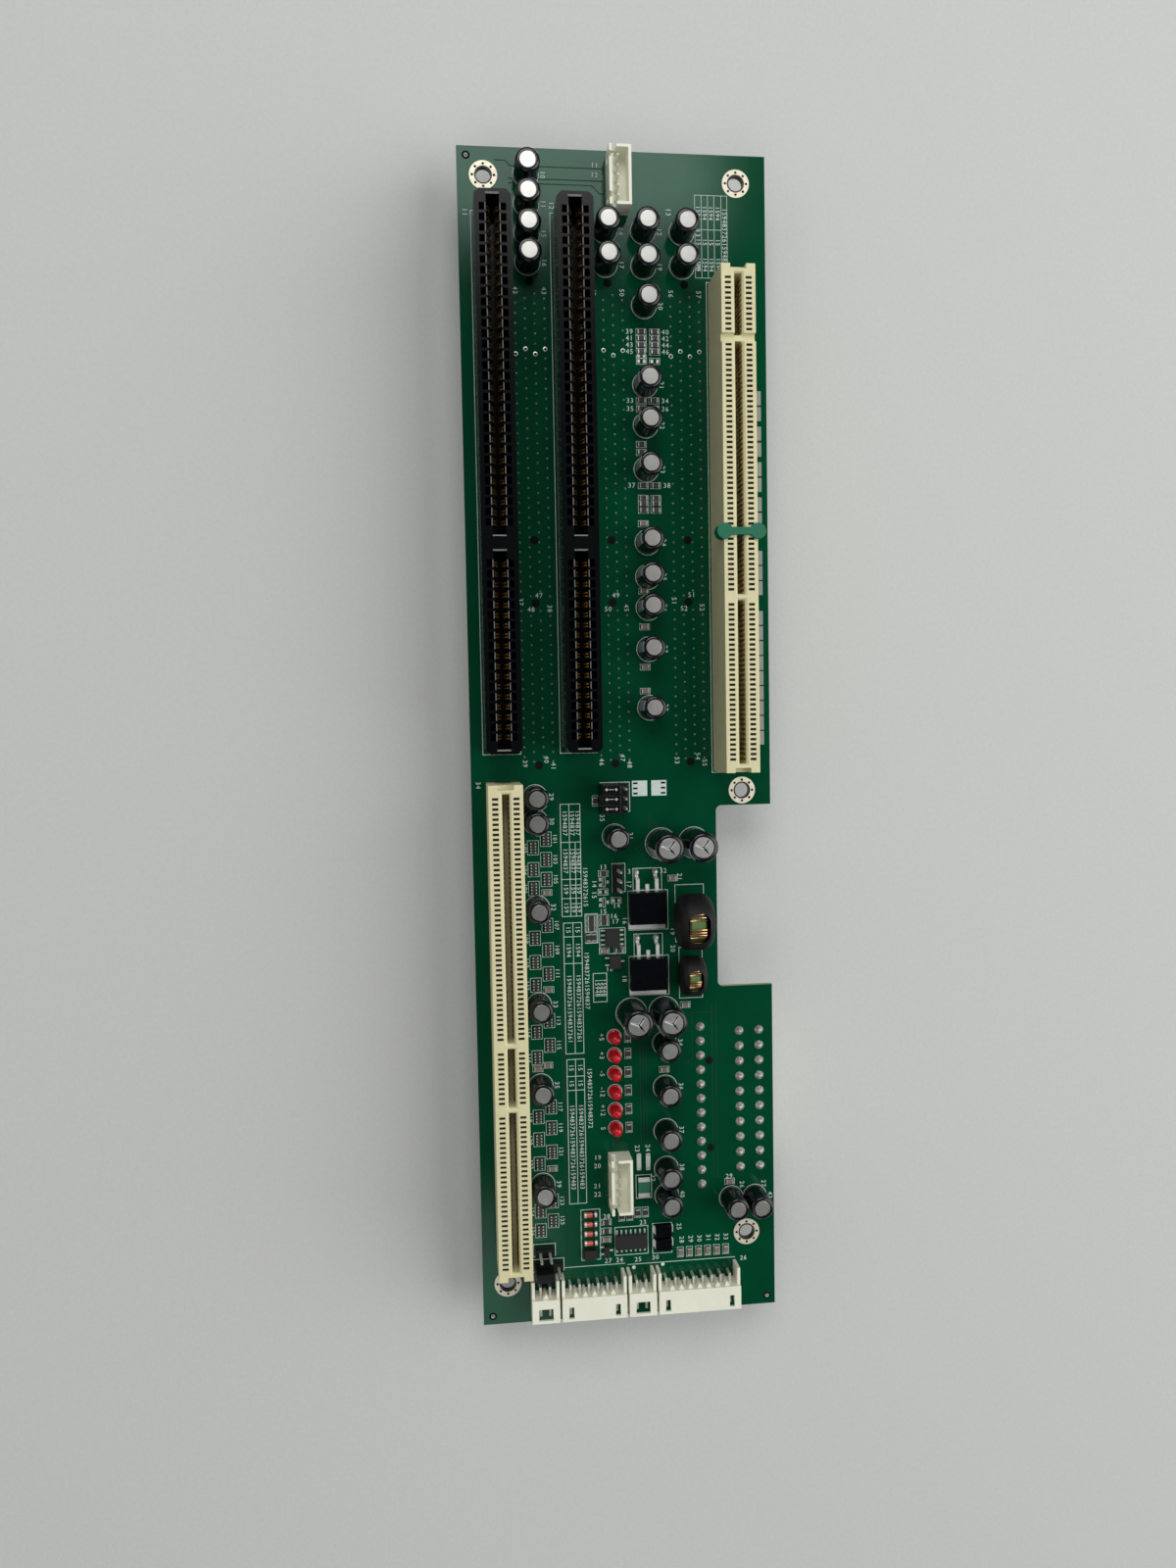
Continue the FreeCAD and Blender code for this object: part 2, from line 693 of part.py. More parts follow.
def jumpers():
    blocks = (
        ("voltage_jumper_block", f"{slot_line(1)} + 8.7", f"{CPU_START} + 1.3", 3, 3,
         ((0, 0), (0, 1), (0, 2))),
        ("bus_mode_jumper_block", f"{slot_line(1)} + 9.5", f"{CPU_START} + 23.0", 1, 3, ()),
        ("power_jumper_block_1", f"{slot_line(0)} + 8.45", f"{BOARD_LENGTH} - 19.5", 2, 1, ()),
        ("power_jumper_block_2", f"{slot_line(0)} + 9.45", f"{BOARD_LENGTH} - 15.3", 3, 1, ((0, 0),)),
    )
    pins = []
    shunts = []
    for settings in blocks:
        more_pins, more_shunts = jumper_block(*settings)
        pins += more_pins
        shunts += more_shunts
    group("jumper_pins", pins)
    group("jumper_shunts", shunts)


def lamps():
    """Round lamps in a row, each with a bevelled dome."""
    for index in range(LAMPS):
        lamp = round_form("lamp_wide / 2", "0", "lamp_high", SMALL_ROUND, "lamp_dome", both_ends=False)
        place(lamp, f"{slot_line(1)} + 8.05", f"{CPU_START} + 65.7 + {index} * lamp_pitch", BOARD_TOP)
        keep(lamp, f"status_lamp_{index + 1}")


def power_transistors():
    """Two flat packages on metal tabs, each with two long leads and a cropped middle one."""
    for index in range(2):
        across = f"{slot_line(1)} + 17.3"
        down = f"{CPU_START} + 30.7 + {index} * fet_step"
        case = block(across, down, f"{BOARD_TOP} + fet_tab_thick",
                     "fet_wide", "fet_long", "fet_high - fet_tab_thick")
        keep(case, f"transistor_case_{index + 1}")
        metal = [block(across, f"{down} + fet_tab_out / 2", BOARD_TOP, "fet_wide", "fet_long + fet_tab_out",
                       "fet_tab_thick")]
        top = f"{down} - fet_long / 2"
        for side in ("-", "+"):
            metal.append(transistor_lead(f"{across} {side} fet_lead_pitch", top))
        metal.append(block(across, f"{top} - fet_lead_cropped / 2", f"{BOARD_TOP} + fet_lead_level",
                           "fet_lead_wide", "fet_lead_cropped", "fet_lead_thick"))
        group(f"transistor_metal_{index + 1}", metal)


def transistor_lead(across, start):
    """A flat lead that leaves the case, steps down and lies on its pad."""
    body = doc.addObject("PartDesign::Body", "lead")
    shelf = "fet_lead_out - fet_lead_foot"
    sketch = new_sketch(body, "YZ_Plane", "-fet_lead_wide / 2")
    outline(sketch, [
        ("0", "fet_lead_level"), ("0", "fet_lead_level + fet_lead_thick"),
        (shelf, "fet_lead_level + fet_lead_thick"), (f"{shelf} + fet_lead_thick", "fet_lead_thick"),
        ("fet_lead_out", "fet_lead_thick"), ("fet_lead_out", "0"),
        (shelf, "0"), (f"{shelf} - fet_lead_thick", "fet_lead_level"),
    ])
    pad(body, sketch, "fet_lead_wide")
    return place(body, across, start, BOARD_TOP)


def choke(number, across, down, ratio, turns):
    """A ring core on edge with wire turns, inside a black sleeve that is open above and below."""
    ring_out = f"{ratio} * choke_core_wide / 2"
    ring_in = f"{ratio} * choke_core_bore / 2"
    half = f"{ratio} * choke_core_thick / 2"
    wire = f"({ratio} * choke_wire)"
    play = f"({ratio} * choke_wire_play)"
    sleeve_play = f"{ratio} * choke_sleeve_play"
    sleeve_wall = f"({ratio} * choke_sleeve_wall)"
    bevel = f"{ratio} * choke_sleeve_bevel"
    inner = f"({ring_out} + {play} + {wire} + {sleeve_play})"
    inner_half = f"({half} + {play} + {wire} + {bevel})"
    axle = f"{BOARD_TOP} + {inner} + {sleeve_wall}"
    core = [lying_can(across, down, axle, radius, half) for radius in (ring_out, ring_in)]
    keep(cut(*core), f"choke_core_{number}")
    section = (f"{ring_in} - {play}", f"{ring_out} + {play}", f"({half} + {play})")
    wires = [wire_turn(section, wire, across, down, axle, 360 * turn / turns) for turn in range(turns)]
    wires += [block(f"{across} {side} {ratio} * choke_lead_out", down, BOARD_TOP, wire, wire,
                    f"{sleeve_play} + {sleeve_wall}") for side in ("-", "+")]
    group(f"choke_winding_{number}", wires)
    shells = []
    for wall in (sleeve_wall, "0"):
        side = f"({inner_half} + {wall})"
        shell = round_form(f"{inner} + {wall}", f"-{side}", side, LARGE_ROUND, bevel, both_ends=True)
        shell.Placement = FreeCAD.Placement(FreeCAD.Vector(), ACROSS)
        shells.append(place(shell, across, down, axle))
    window = block(across, down, BOARD_TOP, f"{ratio} * choke_window_wide", f"{ratio} * choke_window_long",
                   f"2 * ({inner} + {sleeve_wall})")
    keep(cut(cut(*shells), window), f"choke_sleeve_{number}")


def lying_can(across, down, axle, radius, half):
    """A round can with its axis along the board's width."""
    piece = doc.addObject("Part::Prism", "can")
    piece.Polygon = LARGE_ROUND
    bind(piece, "Circumradius", radius)
    bind(piece, "Height", f"2 * {half}")
    piece.Placement = FreeCAD.Placement(FreeCAD.Vector(), ACROSS)
    return place(piece, f"{across} - {half}", down, axle)


def wire_turn(section, wire, across, down, axle, angle):
    """One closed turn of square wire round the core's section, turned about the core's axis."""
    low, high, side = section
    body = doc.addObject("PartDesign::Body", "turn")
    sketch = new_sketch(body, "XZ_Plane", f"-{wire} / 2")
    oblong(sketch, f"-{side} - {wire}", f"{side} + {wire}", f"{low} - {wire}", f"{high} + {wire}")
    oblong(sketch, f"-{side}", side, low, high)
    pad(body, sketch, wire)
    body.Placement = FreeCAD.Placement(FreeCAD.Vector(), FreeCAD.Rotation(FreeCAD.Vector(1, 0, 0), angle))
    return place(body, across, down, axle)


def circuits():
    """Moulded circuits: the case stands on flat leads, listed as places along each of its two lead sides."""
    seven = range(-3, 4)
    four = (-1.5, -0.5, 0.5, 1.5)
    pair = (-0.75, 0.75)
    cases = (
        ("logic_circuit", f"{slot_line(1)} + 11.7", f"{BOARD_LENGTH} - 20.5",
         "ic_wide", "ic_long", seven, seven, True),
        ("regulator_circuit", f"{slot_line(1)} + 8.0", f"{CPU_START} + 38.8",
         "ic_wide", "ic_short", four, four, False),
        ("switch_transistor_1", f"{slot_line(1)} + 8.6", f"{CPU_START} + 45.3",
         "switch_wide", "switch_long", pair, (0,), False),
        ("switch_transistor_2", f"{slot_line(1)} + 5.0", f"{BOARD_LENGTH} - 18.2",
         "tiny_switch_wide", "tiny_switch_long", pair, (0,), False),
    )
    leads = []
    for label, across, down, wide, long, first_side, second_side, lying in cases:
        size = (long, wide) if lying else (wide, long)
        keep(block(across, down, f"{BOARD_TOP} + lead_thick", *size, "ic_high - lead_thick"), label)
        reach = "lead_out + lead_under"
        for sign, side in (("-", first_side), ("+", second_side)):
            middle = f"{sign} ({wide} / 2 - lead_under + ({reach}) / 2)"
            for step in side:
                along = f"+ {step} * lead_pitch"
                if lying:
                    spot = (f"{across} {along}", f"{down} {middle}")
                    plan = ("lead_wide", reach)
                else:
                    spot = (f"{across} {middle}", f"{down} {along}")
                    plan = (reach, "lead_wide")
                leads.append(block(*spot, BOARD_TOP, *plan, "lead_thick"))
    group("circuit_leads", leads)


def small_power_parts():
    glass = []
    for index in range(4):
        piece = doc.addObject("Part::Prism", "glass")
        piece.Polygon = SMALL_ROUND
        bind(piece, "Circumradius", "glass_wide / 2")
        bind(piece, "Height", "glass_long")
        piece.Placement = FreeCAD.Placement(FreeCAD.Vector(), ACROSS)
        glass.append(place(piece, f"{slot_line(1)} + 0.7 - glass_long / 2",
                           f"{BOARD_LENGTH} - 28.6 + {index} * glass_pitch", f"{BOARD_TOP} + glass_wide / 2"))
    group("glass_diodes", glass)
    moulded = [block(f"{slot_line(1)} + 20.5", f"{BOARD_LENGTH} - 23.2 + {index} * diode_pitch", BOARD_TOP,
                     "diode_long", "diode_wide", "diode_high") for index in range(2)]
    group("moulded_diodes", moulded)
    capacitor = block(f"{slot_line(1)} + 0.5", f"{BOARD_LENGTH} - 17.9", BOARD_TOP,
                      "moulded_cap_long", "moulded_cap_wide", "diode_high")
    keep(capacitor, "moulded_capacitor")
    fuse = block(f"{slot_line(1)} + 15.5", f"{CPU_START} + 107.4", BOARD_TOP,
                 "fuse_wide", "fuse_long", "fuse_high")
    keep(fuse, "resettable_fuse")


def resistor_arrays():
    """Two staggered columns of arrays beside the processor slot."""
    columns = ((7.65, LEFT_ARRAYS), (11.05, RIGHT_ARRAYS))
    arrays = [block(f"{slot_line(0)} + {side}", f"{CPU_START} + {row}", BOARD_TOP, "array_wide", "array_long",
                    "array_high") for side, rows in columns for row in rows]
    group("resistor_arrays", arrays)


def rear_power_connectors():
    """The power socket and the power header on the solder side."""
    column = f"{BOARD_WIDTH} - 6.55"
    down = f"{CPU_START} + 65.8"
    low = f"-{ATX_ROWS - 1} * atx_row"
    body = new_body("power_socket")
    half = "atx_wide / 2"
    plan = new_sketch(body)
    oblong(plan, f"-{half}", half, f"{low} - atx_end", "atx_end")
    pad(body, plan, "atx_high")
    latch = new_sketch(body, height="atx_high - atx_latch_high")
    middle = f"{low} / 2"
    oblong(latch, half, f"{half} + atx_latch_out",
           f"{middle} - atx_latch_long / 2", f"{middle} + atx_latch_long / 2")
    pad(body, latch, "atx_latch_high")
    cells = new_sketch(body, height="atx_high")
    for side in ("-", ""):
        centre = f"{side}(atx_column / 2)"
        oblong(cells, f"{centre} - atx_cell / 2", f"{centre} + atx_cell / 2", "-atx_cell / 2", "atx_cell / 2")
    cell = pocket(body, cells, "atx_cell_deep")
    repeat(body, cell, cells, "V_Axis", ATX_ROWS, "atx_row", backwards=True)
    place(body, column, down, BOARD_UNDER, flipped=True)
    pins = []
    for side in ("-", "+"):
        for row in range(ATX_ROWS):
            pins.append(block(f"{column} {side} atx_column / 2", f"{down} + {row} * atx_row",
                              f"{BOARD_UNDER} - atx_high + atx_pin_below",
                              "atx_pin", "atx_pin", "atx_cell_deep - atx_pin_below"))
    group("power_socket_pins", pins)
    across = f"{BOARD_WIDTH} - 20.1"
    start = f"{CPU_START} + 64.2"
    span = f"{AT_PINS - 1} * at_pitch"
    base = new_body("power_header")
    plan = new_sketch(base)
    oblong(plan, "-at_base_wide / 2", "at_base_wide / 2", f"-{span} - at_end", "at_end")
    pad(base, plan, "at_base_high")
    ribs = new_sketch(base)
    for first in (0, AT_PINS // 2):
        oblong(ribs, "at_base_wide / 2 - at_rib_thick", "at_base_wide / 2",
               f"-{first + AT_PINS // 2 - 1} * at_pitch", f"-{first} * at_pitch")
    pad(base, ribs, "at_rib_high")
    place(base, across, start, BOARD_UNDER, flipped=True)
    pins = [block(across, f"{start} + {index} * at_pitch", f"{BOARD_UNDER} - at_pin_high", "at_pin", "at_pin",
                  "at_pin_high - at_base_high") for index in range(AT_PINS)]
    group("power_header_pins", pins)


circuit_board()
isa_slot("isa_slot_1", 0)
isa_slot("isa_slot_2", 1)
pci_slot("cpu_card_slot", slot_line(0), CPU_START, KEYED_FOR_5V, valley=False)
pci_slot("front_pci_slot", slot_line(SLOT_COLUMNS), "pci_edge", KEYED_FOR_3V)
for column in range(SLOT_COLUMNS):
    pci_slot(f"rear_pci_slot_{column + 1}", f"{slot_line(column)} + rear_slot_shift", "pci_edge",
             KEYED_FOR_3V, rear=True)
keying_clip()
capacitors()
upright_pins = upright_header("keyboard_header_1", f"{slot_line(1)} + 12.5", "8.75")
upright_pins += upright_header("keyboard_header_2", f"{slot_line(1)} + 8.7", f"{CPU_START} + 104.7")
group("keyboard_header_pins", upright_pins)
side_entry_headers()
jumpers()
lamps()
power_transistors()
choke(1, f"{NOTCH_EDGE} - 7.9", f"{NOTCH_START} + 29.9", "1", 10)
choke(2, f"{NOTCH_EDGE} - 8.1", f"{NOTCH_START} + 44.7", "choke_size_ratio", 8)
circuits()
small_power_parts()
resistor_arrays()
rear_power_connectors()

doc.recompute()
for item in doc.Objects:
    if {"Invalid", "Error"} & set(item.State):
        raise ValueError(f"{item.Label} failed: {item.State}")
for item in nodes:
    if item.Shape.isNull() or not item.Shape.isValid():
        raise ValueError(f"{item.Label} has no valid shape")
os.makedirs("parts", exist_ok=True)
for item in nodes:
    item.Shape.exportStep(f"parts/{item.Label}.step")
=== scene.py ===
import math
from contextlib import contextmanager
from functools import partial

import bmesh
import bpy
from bpy.props import FloatProperty, FloatVectorProperty, PointerProperty
from mathutils import Euler, Matrix, Vector


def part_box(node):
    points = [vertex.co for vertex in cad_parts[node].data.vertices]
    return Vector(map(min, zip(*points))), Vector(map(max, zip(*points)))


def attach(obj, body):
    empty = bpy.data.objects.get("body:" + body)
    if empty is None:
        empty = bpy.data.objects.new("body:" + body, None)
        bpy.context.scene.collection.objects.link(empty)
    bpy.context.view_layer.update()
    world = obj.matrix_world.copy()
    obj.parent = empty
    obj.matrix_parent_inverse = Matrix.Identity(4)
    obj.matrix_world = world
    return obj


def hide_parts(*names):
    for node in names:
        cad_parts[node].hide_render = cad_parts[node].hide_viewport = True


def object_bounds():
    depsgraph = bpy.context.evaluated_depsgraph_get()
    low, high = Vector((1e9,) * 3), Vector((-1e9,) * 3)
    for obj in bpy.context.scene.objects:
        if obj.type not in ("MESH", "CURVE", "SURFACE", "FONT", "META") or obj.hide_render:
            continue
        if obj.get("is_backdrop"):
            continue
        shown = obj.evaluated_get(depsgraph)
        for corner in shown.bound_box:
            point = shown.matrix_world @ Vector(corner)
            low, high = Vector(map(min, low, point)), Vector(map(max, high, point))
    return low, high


# The looks of a passive backplane board: every solid of the frame gets its finish,
# and the slots, capacitors, headers, solder and print get the detail of the real ones.
# Places on the board are millimetres across from its left edge and down from its top edge.

bl_info = {
    "name": "Backplane Board",
    "version": (1, 0, 0),
    "blender": (4, 5, 0),
    "location": "3D View > Sidebar > Backplane",
    "description": "Dresses the solids of a backplane board with detailed pieces and finishes",
    "category": "Object",
}

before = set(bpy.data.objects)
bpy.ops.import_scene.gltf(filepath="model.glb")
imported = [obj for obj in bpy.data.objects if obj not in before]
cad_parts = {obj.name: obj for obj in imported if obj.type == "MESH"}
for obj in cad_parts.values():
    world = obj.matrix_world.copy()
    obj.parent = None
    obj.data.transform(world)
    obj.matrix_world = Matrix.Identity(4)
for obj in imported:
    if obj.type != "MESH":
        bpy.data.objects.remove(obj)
CAD_BOX = [list(corner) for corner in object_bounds()]

MM = 0.001
BOARD_LOW, BOARD_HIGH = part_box("circuit_board")
FRONT = BOARD_HIGH.z
BACK = BOARD_LOW.z
SMOOTH_BELOW = math.radians(26)
HALF_TURN = math.pi
QUARTER_TURN = math.pi / 2

ISA_SECTIONS = ((0, 30), (34, 51))
KEYED_FOR_3V = ((0, 10), (13, 61), (64, 95))
KEYED_FOR_5V = ((0, 48), (51, 61), (64, 95))
ISA_PITCH = 2.54
ISA_END = 4.3
PCI_PITCH = 1.27
PCI_END = 3.5
REAR_SLOTS = ("rear_pci_slot_1", "rear_pci_slot_2", "rear_pci_slot_3")
FRONT_SLOTS = ("cpu_card_slot", "front_pci_slot")
ISA_SLOTS = ("isa_slot_1", "isa_slot_2")
EDGE_HEADERS = tuple(f"edge_header_{index}" for index in range(1, 5))
LARGE_CAPACITORS = tuple(f"large_capacitor_{index}" for index in range(1, 5))
LAMPS = tuple(f"status_lamp_{index}" for index in range(1, 7))
SAME_POINT = 1e-6


def at(across, down, up=0.0):
    """A point over the component side."""
    return Vector((BOARD_LOW.x + across * MM, BOARD_HIGH.y - down * MM, FRONT + up * MM))


def on_board(point):
    """How far a point lies across from the left edge and down from the top edge, in millimetres."""
    return (point.x - BOARD_LOW.x) / MM, (BOARD_HIGH.y - point.y) / MM


def length(name, description, millimetres):
    return FloatProperty(name=name, description=description, default=millimetres * MM, unit="LENGTH")


def colour(name, description, red, green, blue):
    return FloatVectorProperty(name=name, description=description, default=(red, green, blue),
                               subtype="COLOR", min=0.0, max=1.0)


class BackplaneSizes(bpy.types.PropertyGroup):
    """Sizes of the fine detail that the solids leave out."""

    print_line: length("Print line", "Width of a printed line", 0.16)
    fine_line: length("Fine line", "Width of the printed line round a chip", 0.11)
    print_high: length("Print height", "Height of the print over the board", 0.03)
    track_wide: length("Track", "Width of a copper track under the mask", 0.3)
    ring_wide: length("Ring", "Outer width of the plated ring round a mounting hole", 7.2)
    hole_wide: length("Hole", "Width of a mounting hole", 4.0)
    solder_wide: length("Solder", "Width of a solder joint on a slot tail", 0.66)
    solder_high: length("Solder height", "Height of a solder joint on a slot tail", 0.62)
    power_solder_wide: length("Power solder", "Width of a solder joint on a power pin", 2.5)
    plastic_edge: length("Plastic edge", "Rounding of moulded edges", 0.12)
    metal_edge: length("Metal edge", "Rounding of pins and leads", 0.06)
    window_wide: length("Window", "Width of a contact window in an ivory slot", 1.56)
    window_long: length("Window length", "Length of a contact window along the slot", 0.66)
    window_out: length("Window place", "Distance of the windows from the slot line", 2.67)
    leaf_thick: length("Leaf", "Thickness of a contact leaf", 0.16)


class BackplaneColours(bpy.types.PropertyGroup):
    """Colours of the finishes, scene linear."""

    mask: colour("Solder mask", "Green lacquer over the laminate", 0.0, 0.045, 0.017)
    mask_copper: colour("Mask on copper", "Green lacquer where copper lies under it", 0.0, 0.072, 0.029)
    laminate: colour("Laminate", "Cut edge of the board", 0.30, 0.33, 0.16)
    ink: colour("Ink", "White print", 0.62, 0.72, 0.66)
    solder: colour("Solder", "Tin solder joints", 0.74, 0.72, 0.66)
    plating: colour("Plating", "Plated rings round the mounting holes", 0.80, 0.75, 0.60)
    tin: colour("Tin", "Tinned pins, leads and tabs", 0.82, 0.81, 0.78)
    gold: colour("Gold", "Contact leaves of the black slots", 0.50, 0.35, 0.14)
    bronze: colour("Bronze", "Contact leaves of the ivory slots", 0.55, 0.38, 0.17)
    black: colour("Black", "Plastic of the black slots", 0.0025, 0.003, 0.0038)
    # Painted highlight: the grey on the thin lips of the black slots and, doubled, on the chamfers at their
    # channel ends.
    worn: colour("Lip highlight", "Thin lips of the black slots", 0.15, 0.15, 0.145)
    ivory: colour("Ivory", "Plastic of the ivory slots", 0.76, 0.71, 0.43)
    white: colour("White", "Plastic of the wafer headers", 0.90, 0.905, 0.75)
    clip: colour("Clip", "Plastic of the keying clip", 0.0, 0.15, 0.075)
    sleeve: colour("Sleeve", "Capacitor sleeves", 0.003, 0.004, 0.006)
    stripe: colour("Stripe", "Polarity stripe of the capacitors", 0.36, 0.40, 0.42)
    aluminium: colour("Aluminium", "Capacitor cans", 0.50, 0.50, 0.47)
    # Painted highlight: the bright lines of the grooves on the large cans.
    bare_metal: colour("Groove highlight", "Fresh metal in the grooves of a can", 0.86, 0.86, 0.82)
    epoxy: colour("Epoxy", "Moulded circuit cases", 0.013, 0.014, 0.013)
    dark_epoxy: colour("Dark epoxy", "Cases of the power transistors", 0.0015, 0.002, 0.004)
    lamp: colour("Lamp", "Tinted lamp resin", 0.50, 0.004, 0.012)
    copper: colour("Copper", "Enamelled choke wire", 0.95, 0.52, 0.27)
    core: colour("Core", "Coating of the ring cores", 0.10, 0.19, 0.05)
    shrink: colour("Shrink", "Shrink sleeve on the chokes", 0.006, 0.006, 0.007)
    glass: colour("Glass", "Body of the glass diodes", 0.60, 0.11, 0.08)
    ceramic: colour("Ceramic", "Chip capacitors", 0.20, 0.16, 0.12)
    grey: colour("Grey ceramic", "Bare backs of the bus resistor arrays", 0.27, 0.28, 0.26)
    chip: colour("Chip", "Bodies of the chip resistors and arrays", 0.030, 0.030, 0.028)
    pale: colour("Pale ceramic", "Bodies of the bead chokes", 0.55, 0.60, 0.55)
    # Partly painted shade: the contact ends in the ivory slots' windows are real, but coloured near-black for
    # the shade inside the windows.
    window: colour("Window", "Contact ends inside the windows of the ivory slots", 0.014, 0.011, 0.007)
    # Painted shade: the dark of the bores of the plated holes and of the thin annulus round their mouths.
    barrel: colour("Shaded bore", "Bores of the plated holes", 0.030, 0.025, 0.020)
    tail: colour("Tail solder", "Small joints on the slot tails", 0.80, 0.82, 0.76)
    fuse: colour("Fuse", "Resettable fuse", 0.02, 0.16, 0.08)
    floor: colour("Floor", "Pale cloth under the board", 0.64, 0.65, 0.63)
    shadow: colour("Shadow", "Unlit inside of small holes", 0.004, 0.006, 0.005)


def sizes():
    return bpy.context.scene.backplane_sizes


def colours():
    return bpy.context.scene.backplane_colours


# Finishes

class Channel:
    """A number that changes over a surface: sums and products of channels become Math nodes."""

    def __init__(self, finish, socket):
        self.finish = finish
        self.socket = socket

    def _math(self, operation, first, second):
        return self.finish.node("ShaderNodeMath", {"operation": operation}, {0: first, 1: second})

    def __add__(self, other):
        return self._math("ADD", self, other)

    __radd__ = __add__

    def __mul__(self, other):
        return self._math("MULTIPLY", self, other)

    __rmul__ = __mul__

    def __sub__(self, other):
        return self._math("SUBTRACT", self, other)

    def __rsub__(self, other):
        return self._math("SUBTRACT", other, self)

    def above(self, limit):
        return self._math("GREATER_THAN", self, limit)

    def between(self, low, high):
        return self.above(low) * (1 - self.above(high))

    def size(self):
        return self._math("ABSOLUTE", self, 0.0)

    def wave(self):
        return self._math("SINE", self, 0.0)


class Finish:
    """A material on Object coordinates, with one method that makes every node."""

    def __init__(self, name, base, roughness, metallic=0.0, **constants):
        self.material = bpy.data.materials.new(name)
        self.material.use_nodes = True
        self.tree = self.material.node_tree
        self.shader = self.tree.nodes["Principled BSDF"]
        self.set("Base Color", (*base, 1.0))
        self.set("Roughness", roughness)
        self.set("Metallic", metallic)
        for socket, value in constants.items():
            self.set(socket.replace("_", " ").title().replace("Ior", "IOR"), value)
        self.place = self.node("ShaderNodeTexCoord", {}, {}, "Object")

    def set(self, socket, value):
        if isinstance(value, Channel):
            self.tree.links.new(value.socket, self.shader.inputs[socket])
        else:
            self.shader.inputs[socket].default_value = value

    def node(self, kind, settings, sockets, output=0):
        made = self.tree.nodes.new(kind)
        for key, value in settings.items():
            setattr(made, key, value)
        for key, value in sockets.items():
            if isinstance(value, Channel):
                self.tree.links.new(value.socket, made.inputs[key])
            else:
                made.inputs[key].default_value = value
        return Channel(self, made.outputs[output])

    def noise(self, grain, detail=2.0):
        """Soft spots of about the given size in millimetres, as a channel from 0 to 1."""
        return self.node("ShaderNodeTexNoise", {}, {"Vector": self.place, "Scale": 1.0 / (grain * MM),
                                                    "Detail": detail})

    def axis(self, name):
        return self.node("ShaderNodeSeparateXYZ", {}, {"Vector": self.place}, name)

    def facing(self, name):
        """How far the surface faces along one axis."""
        normal = self.node("ShaderNodeNewGeometry", {}, {}, "Normal")
        return self.node("ShaderNodeSeparateXYZ", {}, {"Vector": normal}, name)

    def blend(self, share, first, second):
        shades = [value if isinstance(value, Channel) else (*value, 1.0) for value in (first, second)]
        return self.node("ShaderNodeMix", {"data_type": "RGBA"}, {0: share, 6: shades[0], 7: shades[1]}, 2)

    def relief(self, height, depth):
        """Raises the surface by the height channel, to a depth in millimetres."""
        self.set("Normal", self.node("ShaderNodeBump", {}, {"Height": height, "Distance": depth * MM}))

    def mottle(self, base, lightness, grain):
        """Lets a colour drift a little lighter and darker."""
        dark = [shade * (1 - lightness) for shade in base]
        light = [min(1.0, shade * (1 + lightness)) for shade in base]
        self.set("Base Color", self.blend(self.noise(grain), dark, light))


def solder_mask():
    c = colours()
    finish = Finish("solder_mask", c.mask, 0.1, specular_ior_level=0.3, specular_tint=(0.8, 1.0, 0.92, 1.0))
    cloud = finish.noise(14.0)
    weave = (finish.axis("X") * (2 * math.pi / (0.9 * MM))).wave() * (
        finish.axis("Y") * (2 * math.pi / (0.9 * MM))).wave()
    lacquer = finish.blend(cloud, c.mask, c.mask_copper)
    upright = finish.facing("Z")
    edge = 1 - (upright * upright).above(0.5)
    finish.set("Base Color", finish.blend(edge, lacquer, c.laminate))
    finish.set("Roughness", 0.07 + finish.noise(3.0) * 0.06 + edge * 0.4)
    finish.relief(weave * 0.4 + finish.noise(0.5) * 0.6, 0.006)
    return finish


def surface(name, base, roughness, metallic=0.0, drift=(0.12, 0.8), relief=None, gloss=None, **constants):
    """A finish whose colour drifts by a share over spots of a size in millimetres.

    Relief holds a grain and a depth, and gloss the least roughness, how much it grows and its grain.
    """
    finish = Finish(name, base, roughness, metallic, **constants)
    finish.mottle(base, *drift)
    if gloss:
        least, growth, *grain = gloss
        finish.set("Roughness", least + finish.noise(*grain) * growth)
    if relief:
        grain, depth = relief
        finish.relief(finish.noise(grain), depth)
    return finish


def track_mask():
    return surface("track_mask", colours().mask, 0.5, drift=(0.12, 2.0), relief=(0.4, 0.004),
                   specular_ior_level=0.2)


def ink():
    return surface("ink", colours().ink, 0.55, drift=(0.14, 0.6), relief=(0.15, 0.006))


def solder():
    return surface("solder", colours().solder, 0.3, 0.75, (0.2, 0.7), (0.3, 0.03), (0.16, 0.3, 0.5))


def tail_solder():
    return surface("tail_solder", colours().tail, 0.28, 0.8, (0.2, 0.7), (0.3, 0.03))


# Painted shade for the bores of the plated rings and the thin annulus round each mouth.
def barrel():
    return surface("barrel", colours().barrel, 0.4, 0.4, (0.3, 0.5))


def plating():
    return surface("plating", colours().plating, 0.45, 0.75, (0.15, 1.0), (0.4, 0.01), (0.38, 0.2, 0.6))


def tin():
    return surface("tin", colours().tin, 0.35, 0.65, (0.12, 1.2), (0.2, 0.008), (0.26, 0.2, 0.4))


def gold():
    return surface("gold", colours().gold, 0.32, 1.0, (0.15, 0.8), (0.25, 0.006))


def bronze():
    return surface("bronze", colours().bronze, 0.42, 1.0, (0.15, 0.8), (0.25, 0.006))


def moulded(name, base, roughness, grain=0.25, depth=0.012, **constants):
    """A moulded plastic: fine grain, faint flow marks and uneven gloss."""
    finish = Finish(name, base, roughness, **constants)
    finish.mottle(base, 0.08, 5.0)
    finish.set("Roughness", roughness - 0.06 + finish.noise(1.5) * 0.12)
    finish.relief(finish.noise(grain, 3.0), depth)
    return finish


def black_plastic():
    return moulded("black_plastic", colours().black, 0.3, depth=0.006, specular_ior_level=0.3)


